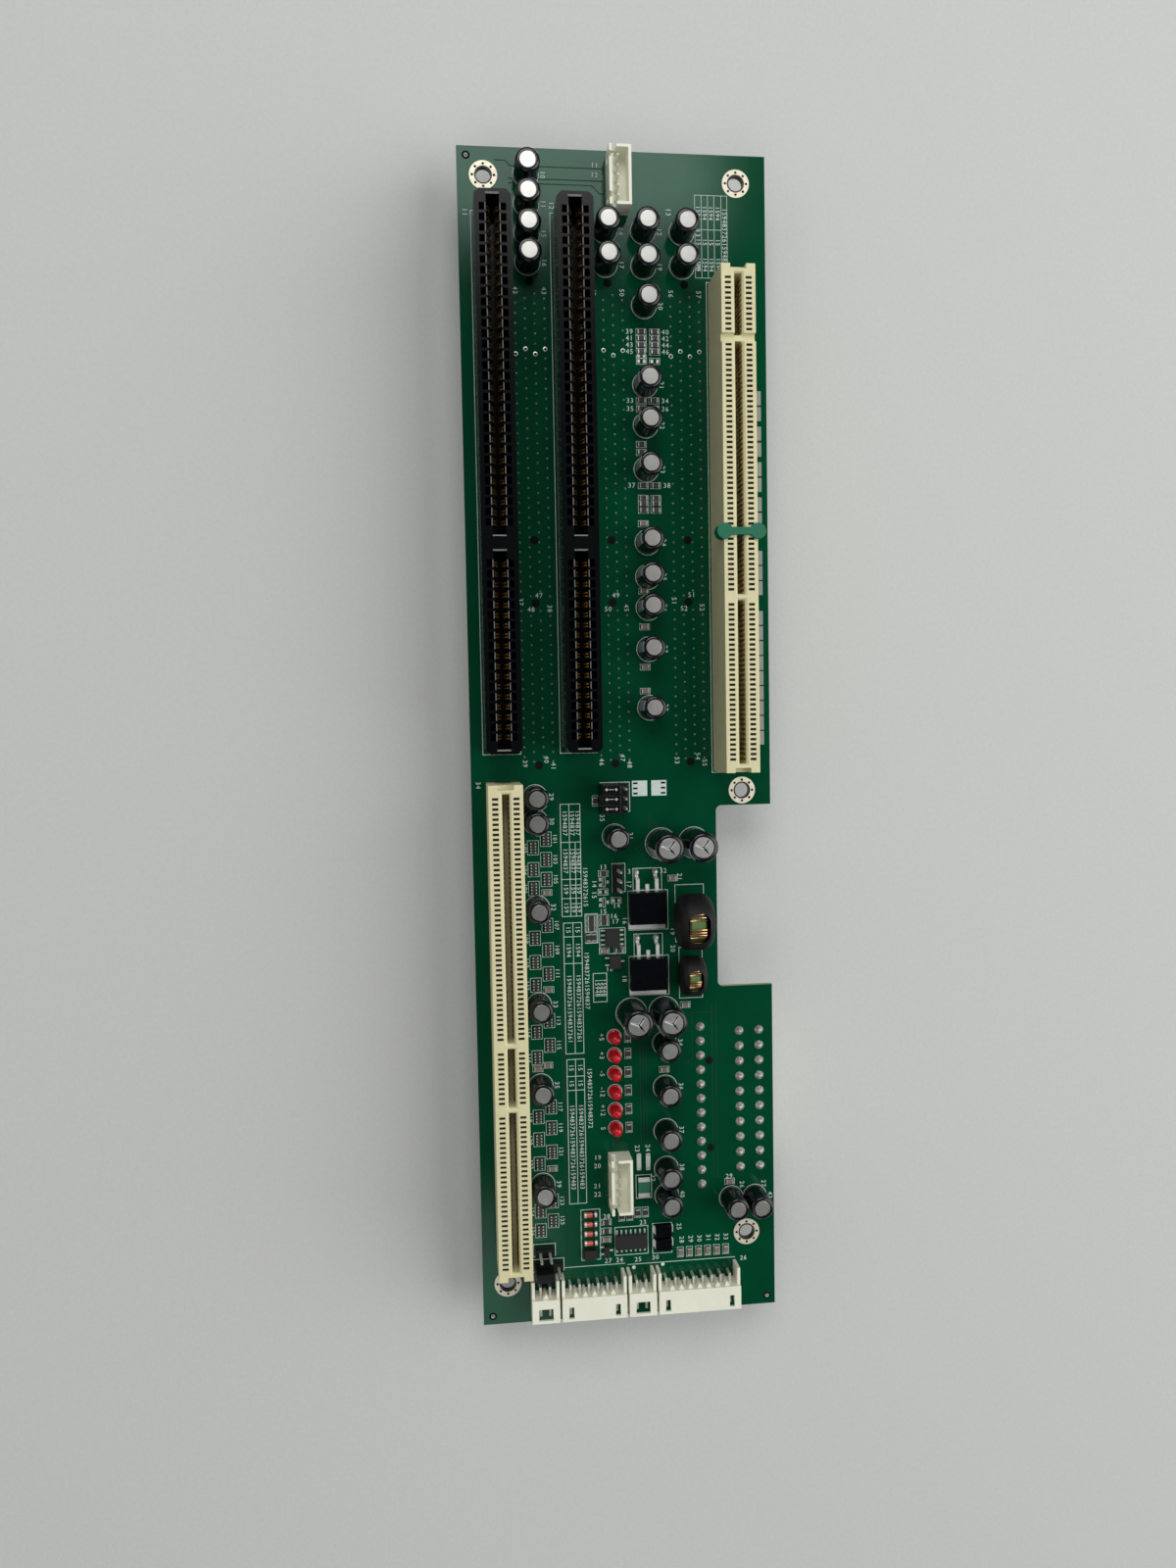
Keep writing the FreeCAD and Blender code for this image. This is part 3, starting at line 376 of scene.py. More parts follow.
def slot_black(line, first):
    """Black moulding whose thin lips beside the contact cells carry a painted grey highlight."""
    c = colours()
    finish = moulded("slot_black", c.black, 0.2, depth=0.005, specular_ior_level=0.18)
    across = (finish.axis("X") - line).size()
    along = (first - finish.axis("Y")) * (1 / (ISA_PITCH * MM))
    lip = across.between(1.7 * MM, 1.96 * MM) * finish.facing("Z").above(0.9)
    beside = (along * (2 * math.pi) + QUARTER_TURN).wave().above(-0.6)
    sections = sum(along.between(start - 0.5, end + 0.5) for start, end in ISA_SECTIONS)
    # Painted highlight on the lip tops beside the cells, lighter and rougher than the black.
    worn = lip * beside * sections
    finish.set("Base Color", finish.blend(worn, c.black, c.worn))
    finish.set("Roughness", 0.2 + worn * 0.3)
    return finish


# Painted highlight for the chamfers at the channel ends: twice the lip highlight's grey.
def worn_black():
    return moulded("worn_black", [2 * shade for shade in colours().worn], 0.45)


def ivory_plastic():
    return moulded("ivory_plastic", colours().ivory, 0.4, subsurface_weight=0.06, subsurface_scale=0.6 * MM)


def white_plastic():
    return moulded("white_plastic", colours().white, 0.38, subsurface_weight=0.08, subsurface_scale=0.7 * MM)


def clip_plastic():
    return moulded("clip_plastic", colours().clip, 0.38)


def epoxy():
    return moulded("epoxy", colours().epoxy, 0.5, 0.12, 0.016, specular_ior_level=0.35)


def dark_epoxy():
    return moulded("dark_epoxy", colours().dark_epoxy, 0.16, 0.12, 0.003, specular_ior_level=0.25)


def sleeve():
    return moulded("sleeve", colours().sleeve, 0.2, 1.4, 0.02)


def stripe():
    return moulded("stripe", colours().stripe, 0.32, 0.8, 0.01)


def aluminium():
    return surface("aluminium", colours().aluminium, 0.3, 1.0, (0.1, 1.5), (0.3, 0.015),
                   (0.22, 0.2, 0.25, 4.0))


def scored_metal():
    """A painted highlight in a stamped groove, brighter than the can around it."""
    return surface("scored_metal", colours().bare_metal, 0.45, 0.25, (0.12, 0.6), (0.3, 0.01))


def lamp_resin():
    return surface("lamp_resin", colours().lamp, 0.14, drift=(0.1, 0.8), relief=(0.6, 0.008),
                   subsurface_weight=0.3, subsurface_scale=1.0 * MM)


def copper_wire():
    return surface("copper_wire", colours().copper, 0.24, 1.0, (0.15, 0.8), (0.4, 0.01),
                   coat_weight=0.5, coat_roughness=0.1)


def core_coat():
    return moulded("core_coat", colours().core, 0.45, 0.3, 0.03)


def shrink_sleeve():
    return moulded("shrink_sleeve", colours().shrink, 0.55, 0.9, 0.08, specular_ior_level=0.3)


def diode_glass():
    return surface("diode_glass", colours().glass, 0.1, drift=(0.25, 0.5), relief=(0.5, 0.006),
                   coat_weight=0.6, coat_roughness=0.04)


def ceramic():
    return moulded("ceramic", colours().ceramic, 0.45, 0.15, 0.008)


def grey_ceramic():
    return moulded("grey_ceramic", colours().grey, 0.5, 0.2, 0.008)


def chip_body():
    return moulded("chip_body", colours().chip, 0.4, 0.15, 0.006)


def pale_ceramic():
    return moulded("pale_ceramic", colours().pale, 0.45, 0.2, 0.008)


# Contact ends coloured near-black as painted shade inside the windows.
def window_dark():
    return moulded("window_dark", colours().window, 0.6, specular_ior_level=0.2)


def fuse_coat():
    return moulded("fuse_coat", colours().fuse, 0.4, 0.2, 0.01)


def shadow_gap():
    """The unlit inside of small holes."""
    return surface("shadow_gap", colours().shadow, 0.7, drift=(0.3, 0.3), specular_ior_level=0.1)


def floor_cloth():
    return surface("floor_cloth", colours().floor, 0.85, drift=(0.05, 1.1), relief=(0.8, 0.05))


FINISHES = {}


def material(maker):
    """Each finish is made once."""
    if maker not in FINISHES:
        FINISHES[maker] = maker().material
    return FINISHES[maker]


def paint(piece, maker):
    """Gives a piece one finish."""
    piece.data.materials.clear()
    piece.data.materials.append(material(maker))
    return piece


def also_paint(piece, maker, test):
    """Gives the faces that pass the test a second finish."""
    piece.data.materials.append(material(maker))
    with editing(piece):
        pick("FACE", test)
        piece.active_material_index = len(piece.data.materials) - 1
        bpy.ops.object.material_slot_assign()
    return piece


# Bench work

def only(*pieces):
    if bpy.context.mode != "OBJECT":
        bpy.ops.object.mode_set(mode="OBJECT")
    bpy.ops.object.select_all(action="DESELECT")
    for piece in pieces:
        piece.select_set(True)
    bpy.context.view_layer.objects.active = pieces[0]


@contextmanager
def editing(piece):
    """Edit mode on one piece, with nothing selected at first."""
    only(piece)
    bpy.ops.object.mode_set(mode="EDIT")
    bpy.ops.mesh.select_all(action="DESELECT")
    yield
    bpy.ops.object.mode_set(mode="OBJECT")


def everything():
    bpy.ops.mesh.select_all(action="SELECT")


def pick(kind, test):
    """Selects the faces or edges whose middle and normal, or middle and direction, pass the test."""
    bpy.ops.mesh.select_mode(type=kind)
    bpy.ops.mesh.select_all(action="DESELECT")
    mesh = bpy.context.edit_object.data
    form = bmesh.from_edit_mesh(mesh)
    if kind == "FACE":
        found = [face for face in form.faces if test(face.calc_center_median(), face.normal)]
    else:
        found = [edge for edge in form.edges if test((edge.verts[0].co + edge.verts[1].co) / 2,
                                                     (edge.verts[1].co - edge.verts[0].co).normalized())]
    for item in found:
        item.select_set(True)
    form.select_flush_mode()
    bmesh.update_edit_mesh(mesh)
    if not found:
        raise ValueError(f"nothing picked on {bpy.context.edit_object.name}")


def settle(piece):
    """Puts a piece's place into its mesh."""
    only(piece)
    bpy.ops.object.transform_apply(location=True, rotation=True, scale=True)
    return piece


def modify(piece, kind, **settings):
    only(piece)
    modifier = piece.modifiers.new(kind.lower(), kind)
    for key, value in settings.items():
        setattr(modifier, key, value)
    bpy.ops.object.modifier_apply(modifier=modifier.name)
    return piece


def cut(piece, cutter, **settings):
    """Takes the cutter's form out of the piece; the cutter goes."""
    modify(piece, "BOOLEAN", object=cutter, operation="DIFFERENCE", solver="EXACT", **settings)
    discard(cutter)


def block(low, high, edge=0.0, segments=1):
    """A brick between two corners, with its edges rounded."""
    low, high = Vector(low), Vector(high)
    bpy.ops.mesh.primitive_cube_add(size=1.0, location=(low + high) / 2, scale=high - low)
    piece = settle(bpy.context.object)
    if edge:
        with editing(piece):
            everything()
            bpy.ops.mesh.bevel(offset=edge, segments=segments, affect="EDGES")
    return piece


def chain(points):
    """A run of edges through the points, left in edit mode with its last corner selected."""
    bpy.ops.mesh.primitive_plane_add(size=1.0)
    piece = bpy.context.object
    bpy.ops.object.mode_set(mode="EDIT")
    bpy.ops.mesh.select_mode(type="VERT")
    everything()
    bpy.ops.mesh.merge(type="CENTER")
    points = [Vector(point) for point in points]
    bpy.ops.transform.translate(value=points[0])
    for start, end in zip(points, points[1:]):
        bpy.ops.mesh.extrude_vertices_move(TRANSFORM_OT_translate={"value": end - start})
    return piece


def turned(profile, sides):
    """A round piece about the upright axis, from radius and height pairs in millimetres."""
    piece = chain([(radius * MM, 0.0, height * MM) for radius, height in profile])
    everything()
    bpy.ops.mesh.spin(steps=sides, angle=2 * math.pi, center=(0, 0, 0), axis=(0, 0, 1))
    everything()
    bpy.ops.mesh.remove_doubles(threshold=SAME_POINT)
    bpy.ops.mesh.normals_make_consistent(inside=False)
    if bmesh.from_edit_mesh(piece.data).calc_volume(signed=True) < 0:
        bpy.ops.mesh.flip_normals()
    bpy.ops.object.mode_set(mode="OBJECT")
    return piece


def leaf(points, wide):
    """A bent strip of sheet metal, its section given by across and height pairs in millimetres."""
    piece = chain([(across * MM, -wide * MM / 2, height * MM) for across, height in points])
    everything()
    bpy.ops.mesh.extrude_region_move(TRANSFORM_OT_translate={"value": (0, wide * MM, 0)})
    bpy.ops.object.mode_set(mode="OBJECT")
    modify(piece, "SOLIDIFY", thickness=sizes().leaf_thick, offset=0.0)
    return piece


def wire(points, radius, roundness=0, closed=False):
    """A wire through points in metres, made a mesh."""
    line = bpy.data.curves.new("wire", "CURVE")
    line.dimensions = "3D"
    line.bevel_depth = radius
    line.bevel_resolution = roundness
    line.use_fill_caps = True
    spline = line.splines.new("POLY")
    spline.points.add(len(points) - 1)
    spline.use_cyclic_u = closed
    for point, spot in zip(spline.points, points):
        point.co = (*spot, 0.0, 1.0)
    piece = bpy.data.objects.new("wire", line)
    bpy.context.collection.objects.link(piece)
    only(piece)
    bpy.ops.object.convert(target="MESH")
    return bpy.context.object


def rounding(radius, centre, start, end, steps):
    """Points on an arc, as radius and height pairs."""
    angles = [math.radians(start + (end - start) * step / steps) for step in range(steps + 1)]
    return [(centre[0] + radius * math.cos(angle), centre[1] + radius * math.sin(angle)) for angle in angles]


def joined(pieces, name):
    only(*pieces)
    if len(pieces) > 1:
        bpy.ops.object.join()
    piece = bpy.context.view_layer.objects.active
    piece.name = name
    piece.data.name = name
    return piece


def twin(piece):
    """A copy of a piece with a mesh of its own."""
    copy = piece.copy()
    copy.data = piece.data.copy()
    bpy.context.collection.objects.link(copy)
    return copy


def copies(pattern, name, places):
    """Copies of a pattern, each with its own mesh, put at the places and joined; the pattern goes."""
    made = []
    for place in places:
        copy = twin(pattern)
        copy.matrix_world = place if isinstance(place, Matrix) else Matrix.Translation(place)
        made.append(copy)
    discard(pattern)
    return settle(joined(made, name))


def discard(piece):
    mesh = piece.data
    bpy.data.objects.remove(piece)
    bpy.data.meshes.remove(mesh)


def in_rows(pattern, name, sections, pitch, place):
    """The pattern repeated along the slot for each section, from the place of the first contact."""
    runs = []
    for first, last in sections:
        run = twin(pattern)
        run.matrix_world = place @ Matrix.Translation((0, -first * pitch * MM, 0))
        settle(run)
        modify(run, "ARRAY", count=last - first + 1, use_relative_offset=False, use_constant_offset=True,
               constant_offset_displace=(0, -pitch * MM, 0))
        runs.append(run)
    discard(pattern)
    return joined(runs, name)


def dressed(node, edge, segments=1, angle=35):
    """A copy of a solid with its triangles merged into clean faces and its edges rounded."""
    piece = twin(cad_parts[node])
    piece.parent = None
    for key in list(piece.keys()):
        del piece[key]
    with editing(piece):
        everything()
        bpy.ops.mesh.customdata_custom_splitnormals_clear()
        bpy.ops.mesh.remove_doubles(threshold=SAME_POINT)
        bpy.ops.mesh.dissolve_limited(angle_limit=math.radians(1))
    return rounded(piece, edge, segments, angle) if edge else piece


def rounded(piece, edge, segments=1, angle=35):
    return modify(piece, "BEVEL", width=edge, segments=segments, limit_method="ANGLE",
                  angle_limit=math.radians(angle))


def hand_over(piece, name, slot, *nodes):
    """Names a finished piece, smooths its round faces and puts it on the frame."""
    only(piece)
    bpy.ops.object.shade_smooth_by_angle(angle=SMOOTH_BELOW)
    modify(piece, "WEIGHTED_NORMAL", keep_sharp=True)
    piece.name = name
    piece.data.name = name
    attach(piece, "root")
    if nodes:
        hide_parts(*nodes)
    return piece


def set_out(pattern, maker, places, name, slot, *nodes):
    """Copies of a pattern in one finish, handed over as one piece."""
    return hand_over(copies(paint(pattern, maker), name, places), name, slot, *nodes)


def dress(node, maker, slot, edge, segments=1, angle=35):
    """Stands a rounded copy in for a solid, in its finish."""
    piece = paint(dressed(node, edge, segments, angle), maker)
    return hand_over(piece, f"{node}_finished", slot, node)


def solids(node):
    """The lowest and highest corner of each separate solid in a node, from the top of the board down."""
    form = bmesh.new()
    form.from_mesh(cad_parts[node].data)
    bmesh.ops.remove_doubles(form, verts=form.verts, dist=SAME_POINT)
    waiting = set(form.verts)
    boxes = []
    while waiting:
        found = [waiting.pop()]
        for corner in found:
            for edge in corner.link_edges:
                other = edge.other_vert(corner)
                if other in waiting:
                    waiting.remove(other)
                    found.append(other)
        places = [corner.co.copy() for corner in found]
        boxes.append((Vector(map(min, *places)), Vector(map(max, *places))))
    form.free()
    return sorted(boxes, key=lambda box: (-round(box[1].y, 5), round(box[0].x, 5)))


def middle(box):
    return (box[0] + box[1]) / 2


def foot(box):
    """The middle of a solid's underside."""
    return Vector((*middle(box).xy, box[0].z))


def round_parts(small, large, lamp):
    """Each can and lamp with the value of its kind: small capacitors, large ones and lamps."""
    kinds = [("small_capacitors", small)]
    kinds += [(node, large) for node in LARGE_CAPACITORS]
    kinds += [(node, lamp) for node in LAMPS]
    return [(box, value) for node, value in kinds for box in solids(node)]


def turn(angle, axis="Z"):
    return Matrix.Rotation(angle, 4, axis)


# Board

MOUNTING_HOLES = ((6.7, 7.1), (72.5, 7.1), (72.5, 166.0), (72.5, 287.7), (6.7, 297.4))
TOOLING_HOLES = ((2.4, 2.3), (2.5, 306.2), (78.1, 306.2))
TOOLING_BORE = 0.5
RING_VIAS = 8
PEG_ROWS = (33.3, 99.4, 115.7, 158.1)
HEADER_PEGS = ((62.6, 239.4), (62.8, 263.6))


class BACKPLANE_OT_board(bpy.types.Operator):
    """Finish the board: lacquer, plated rings with their barrels, tooling holes and peg holes"""

    bl_idname = "backplane.board"
    bl_label = "Board"

    def execute(self, context):
        s = sizes()
        outer = s.ring_wide / 2 / MM
        inner = s.hole_wide / 2 / MM
        thick = (FRONT - BACK) / MM
        lip = 0.05
        board = dressed("circuit_board", 0.0)
        drill = turned([(0, -thick - 1), (TOOLING_BORE, -thick - 1), (TOOLING_BORE, 1), (0, 1)], 16)
        cut(board, copies(drill, "drills", [at(*hole) for hole in TOOLING_HOLES]))
        hand_over(paint(board, solder_mask), "circuit_board_finished", "laminate", "circuit_board")
        bore = inner - 0.08
        rim = inner + 0.3
        ring = turned([(bore, -thick - lip), (rim, -thick - lip), (outer, -thick - lip), (outer, -thick),
                       (inner, -thick), (inner, 0), (outer, 0), (outer, lip), (rim, lip), (bore, lip),
                       (bore, -thick - lip)], 40)
        paint(ring, plating)
        # The bore and a thin annulus round its mouth get the painted shade.
        also_paint(ring, barrel, lambda centre, normal: centre.xy.length < (inner + 0.25) * MM)
        rings = copies(ring, "plated_rings", [at(*hole) for hole in MOUNTING_HOLES])
        hand_over(rings, "plated_rings", "tinned_metal")
        vias = []
        for across, down in MOUNTING_HOLES:
            for step in range(RING_VIAS):
                angle = step * 2 * math.pi / RING_VIAS
                reach = (outer + inner) / 2
                vias.append(at(across + reach * math.cos(angle), down + reach * math.sin(angle), lip))
        dot = turned([(0, -0.03), (0.34, -0.03), (0.34, 0.006), (0.2, 0.008), (0, 0.004)], 12)
        set_out(dot, shadow_gap, vias, "ring_vias", "tinned_metal")
        self.small_holes()
        return {"FINISHED"}

    def small_holes(self):
        """Rims in the painted shade round the tooling holes, white linings painted as light in their bores,
        and the peg holes and peg tips of the rear parts in the painted shade.
        """
        spots = [at(*hole) for hole in TOOLING_HOLES]
        bore = TOOLING_BORE
        rim = turned([(bore, 0), (1.05, 0), (1.05, 0.02), (bore, 0.02), (bore, 0)], 20)
        set_out(rim, shadow_gap, spots, "tooling_rims", "laminate")
        # Painted light: each tooling hole's bore is lined in white ink to show it brightly lit.
        inner = bore - 0.06
        liner = turned([(inner, -1.2), (bore, -1.2), (bore, 0.03), (inner, 0.03), (inner, -1.2)], 16)
        set_out(liner, ink, spots, "tooling_painted_light_linings", "tinned_metal")
        pegs = []
        for node in REAR_SLOTS:
            line = middle(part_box(node)).x
            pegs += [Vector((line, at(0, down).y, FRONT)) for down in PEG_ROWS]
        hole = turned([(0, -0.2), (1.1, -0.2), (1.1, 0.015), (0.5, 0.012), (0, 0.01)], 20)
        holes = pegs + [at(*peg) for peg in HEADER_PEGS]
        set_out(hole, shadow_gap, holes, "peg_holes", "laminate")
        tip = turned([(0, -0.1), (0.62, -0.1), (0.62, 0.04), (0.45, 0.08), (0, 0.09)], 12)
        set_out(tip, shadow_gap, pegs, "peg_tips", "black_slot_plastic")


# Card slots

def slot_place(node, end, rear=False):
    """The top of the slot over its first contact, with the slot's own up along Z."""
    low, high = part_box(node)
    centre = (low.x + high.x) / 2
    first = high.y - end * MM
    if rear:
        return Matrix.Translation((centre, first, low.z)) @ turn(HALF_TURN, "Y")
    return Matrix.Translation((centre, first, high.z))


def facing_pair(strip, name):
    """A leaf on each side of the slot, the second turned to face the first."""
    return copies(strip, name, [Matrix.Identity(4), turn(HALF_TURN)])


class BACKPLANE_OT_black_slots(bpy.types.Operator):
    """Dress the two long black slots and set their gold contact leaves"""

    bl_idname = "backplane.black_slots"
    bl_label = "Black slots"

    LEAF = ((1.6, -8.8), (1.45, -6.4), (0.6, -4.0), (0.45, -3.3), (0.9, -2.0), (1.45, -1.2))
    PRONG_WIDE = 0.42
    PRONG_GAP = 0.36
    END_CHAMFER = 0.36
    CHANNEL_HALF = 1.75
    # How far a channel runs past its first and last contact, in contact rows
    END_ROWS = 1.22

    def execute(self, context):
        for node in ISA_SLOTS:
            self.body(node)
            step = (self.PRONG_WIDE + self.PRONG_GAP) / 2 * MM
            prongs = copies(leaf(self.LEAF, self.PRONG_WIDE), "prongs", [(0, -step, 0), (0, step, 0)])
            contacts = in_rows(facing_pair(prongs, "pair"), "contacts", ISA_SECTIONS, ISA_PITCH,
                               slot_place(node, ISA_END))
            hand_over(paint(contacts, gold), f"{node}_contacts", "tinned_metal")
        return {"FINISHED"}

    def body(self, node):
        """The moulding, with the ends of its channels chamfered and a painted highlight on its lips and
        chamfers.
        """
        low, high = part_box(node)
        line, first, top = slot_place(node, ISA_END).translation
        piece = dressed(node, 0.0)
        half = self.END_CHAMFER * math.sqrt(0.5) * MM
        reach = self.CHANNEL_HALF * MM
        bar = block((-reach, -half, -half), (reach, half, half))
        ends = [(start - self.END_ROWS, end + self.END_ROWS) for start, end in ISA_SECTIONS]
        rows = [first - row * ISA_PITCH * MM for section in ends for row in section]
        cut(piece, copies(bar, "bars", [Matrix.Translation((line, row, top)) @ turn(QUARTER_TURN / 2, "X")
                                        for row in rows]))
        rounded(piece, sizes().plastic_edge * 0.6, angle=60)
        paint(piece, partial(slot_black, line, first))
        # The chamfers at the channel ends get the painted highlight.
        also_paint(piece, worn_black, lambda centre, normal: abs(normal.y) > 0.5 and normal.z > 0.5
                   and low.y + 0.6 * MM < centre.y < high.y - 0.6 * MM and abs(centre.x - line) < MM)
        hand_over(piece, f"{node}_finished", "black_slot_plastic", node)


class BACKPLANE_OT_ivory_slots(bpy.types.Operator):
    """Dress the ivory slots of both sides: contact windows, rounded edges and contact leaves"""

    bl_idname = "backplane.ivory_slots"
    bl_label = "Ivory slots"

    LEAF = ((1.7, -8.0), (1.5, -5.6), (0.62, -3.8), (0.56, -3.1), (1.0, -1.9), (1.3, -1.4))
    LEAF_WIDE = 0.5
    WINDOW_DEEP = 3.2
    PLATE_DEEP = 0.35
    # Half width and depth of the recess at a slot's end, its floor below the mouth, and the floor's inset
    RECESS = (2.025, 1.1, 2.4, 0.15)
    # Half width and half length of a contact cell, and its lowest and highest level from the mouth
    CELL = (2.0, 0.36, -8.2, -0.95)

    def execute(self, context):
        for node in FRONT_SLOTS + REAR_SLOTS:
            rear = node in REAR_SLOTS
            sections = KEYED_FOR_5V if node == "cpu_card_slot" else KEYED_FOR_3V
            place = slot_place(node, PCI_END, rear)
            body = dressed(node, sizes().plastic_edge, 2)
            for opening in (self.window_pair(), self.cell()):
                cut(body, in_rows(opening, "openings", sections, PCI_PITCH, place))
            paint(body, ivory_plastic)
            pair = facing_pair(leaf(self.LEAF, self.LEAF_WIDE), "pair")
            contacts = in_rows(pair, "contacts", sections, PCI_PITCH, place)
            hand_over(paint(contacts, bronze), f"{node}_contacts", "tinned_metal")
            body = joined([body, *self.end_floors(node, rear)], node)
            hand_over(body, f"{node}_finished", "ivory_slot_plastic", node)
            # Contact ends set in the windows, in the near-black of the painted shade.
            plates = in_rows(self.window_pair(-self.PLATE_DEEP), "plates", sections, PCI_PITCH, place)
            hand_over(paint(plates, window_dark), f"{node}_contact_ends", "tinned_metal")
        return {"FINISHED"}

    def end_floors(self, node, rear):
        """Floors in the recesses at both ends of a slot."""
        low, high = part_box(node)
        line = (low.x + high.x) / 2
        half, deep, down, inset = (size * MM for size in self.RECESS)
        bottom, top = (low.z + down, high.z) if rear else (low.z, high.z - down)
        floors = [block((line - half, end, bottom), (line + half, end + deep, top))
                  for end in (low.y + inset, high.y - deep - inset)]
        return [paint(floor, ivory_plastic) for floor in floors]

    def cell(self):
        """The room of a pair of contact leaves, open to the channel below the lips."""
        across, along, low, high = (size * MM for size in self.CELL)
        return block((-across, -along, low), (across, along, high))

    def window_pair(self, top=1.0):
        s = sizes()
        half = Vector((s.window_wide / 2, s.window_long / 2))
        window = block((*-half, -self.WINDOW_DEEP * MM), (*half, top * MM))
        return copies(window, "window_pair", [(-s.window_out, 0, 0), (s.window_out, 0, 0)])


class BACKPLANE_OT_keying_clip(bpy.types.Operator):
    """Dress the keying clip on the front ivory slot"""

    bl_idname = "backplane.keying_clip"
    bl_label = "Keying clip"

    def execute(self, context):
        dress("keying_clip", clip_plastic, "clip_plastic", sizes().plastic_edge * 2, 3, 25)
        return {"FINISHED"}


# Capacitors

class BACKPLANE_OT_capacitors(bpy.types.Operator):
    """Build the aluminium capacitors: sleeve with a crimp and a stripe, scored can top"""

    bl_idname = "backplane.capacitors"
    bl_label = "Capacitors"

    SIDES = 28
    # Share of a can's radius that its bare top takes, on small and large cans
    SMALL_LIP = 0.66
    LARGE_LIP = 0.69
    SHOULDER = 0.24
    CRIMP = 0.16
    # How wide the stripe is, and how far it turns from the way its group faces, in degrees
    STRIPE_TURN = 52
    STRIPE_DRIFT = 9
    # Each group of cans above a line down the board, and the way its stripes face
    STRIPES_FACE = ((45, 235), (165, -5))
    # The cans below the last line: where the left ones end, and the way the left and right stripes face
    LOWER_SPLIT = 25
    LOWER_STRIPES_FACE = (110, 50)
    LARGE_TURN = 30
    GROOVE_FLAT = 0.42
    # Length and half width of a groove, as shares of the top's radius
    GROOVE = (0.82, 0.12)
    GROOVE_TURNS = (20, 140, 260)

    def execute(self, context):
        boxes = solids("small_capacitors")
        size = (boxes[0][1] - boxes[0][0]) / MM
        small = self.capacitor(size.x, size.z, self.SMALL_LIP)
        places = [Matrix.Translation(foot(box)) @ turn(self.lean(index, box))
                  for index, box in enumerate(boxes)]
        hand_over(copies(small, "small", places), "small_capacitors_finished", "capacitor_sleeve",
                  "small_capacitors")
        for node in LARGE_CAPACITORS:
            low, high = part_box(node)
            size = (high - low) / MM
            large = self.capacitor(size.x, size.z, self.LARGE_LIP, scored=True)
            place = Matrix.Translation(foot((low, high))) @ turn(math.radians(self.LARGE_TURN))
            hand_over(copies(large, node, [place]), f"{node}_finished", "capacitor_sleeve", node)
        return {"FINISHED"}

    def lean(self, index, box):
        """The turn of a can's stripe: each group of cans faces its own way, and each can a little off it."""
        across, down = on_board(middle(box))
        lower = self.LOWER_STRIPES_FACE[0 if across < self.LOWER_SPLIT else 1]
        facing = next((angle for limit, angle in self.STRIPES_FACE if down < limit), lower)
        return math.radians(facing + self.STRIPE_DRIFT * math.sin(2.4 * index))

    def capacitor(self, wide, high, lip_share, scored=False):
        radius = wide / 2
        lip = radius * lip_share
        shoulder = radius * self.SHOULDER
        waist = radius - self.CRIMP
        base = [(0, 0), (radius * 0.94, 0), (radius, 0.2), (radius, 0.8), (waist, 1.05), (waist, 1.25),
                (radius, 1.5)]
        rim = rounding(shoulder, (radius - shoulder, high - shoulder), 0, 90, 4)
        mouth = [(lip + 0.05, high), (lip, high - 0.05), (lip, high - 0.3), (0, high - 0.3)]
        wrap = turned(base + rim + mouth, self.SIDES)
        paint(wrap, sleeve)
        self.add_stripe(wrap)
        top = turned([(0, high - 0.4), (lip + 0.02, high - 0.4), (lip + 0.02, high - 0.16),
                      (lip - 0.1, high - 0.1), (lip * 0.5, high - 0.09), (0, high - 0.09)], self.SIDES)
        paint(top, aluminium)
        if scored:
            self.score(top, lip, high)
        return joined([wrap, top], "capacitor")

    def add_stripe(self, wrap):
        """The faces on one side carry the light stripe."""
        half = math.radians(self.STRIPE_TURN) / 2
        also_paint(wrap, stripe, lambda centre, normal: centre.z > 1.5 * MM and abs(normal.z) < 0.8
                   and abs(math.atan2(centre.y, -centre.x)) < half)

    def score(self, top, lip, high):
        """Three grooves that meet in the middle, where the can is meant to open."""
        reach, half = (share * lip * MM for share in self.GROOVE)
        groove = block((0, -half, -half), (reach, half, half))
        level = Matrix.Translation((0, 0, (high - 0.08) * MM)) @ Matrix.Scale(self.GROOVE_FLAT, 4, (0, 0, 1))
        spokes = copies(groove, "groove", [level @ turn(math.radians(angle)) @ turn(QUARTER_TURN / 2, "X")
                                           for angle in self.GROOVE_TURNS])
        cut(top, spokes, use_self=True)
        # The groove walls get the painted highlight.
        also_paint(top, scored_metal, lambda centre, normal: 0.2 < normal.z < 0.975
                   and centre.xy.length < reach)


# Headers and jumpers

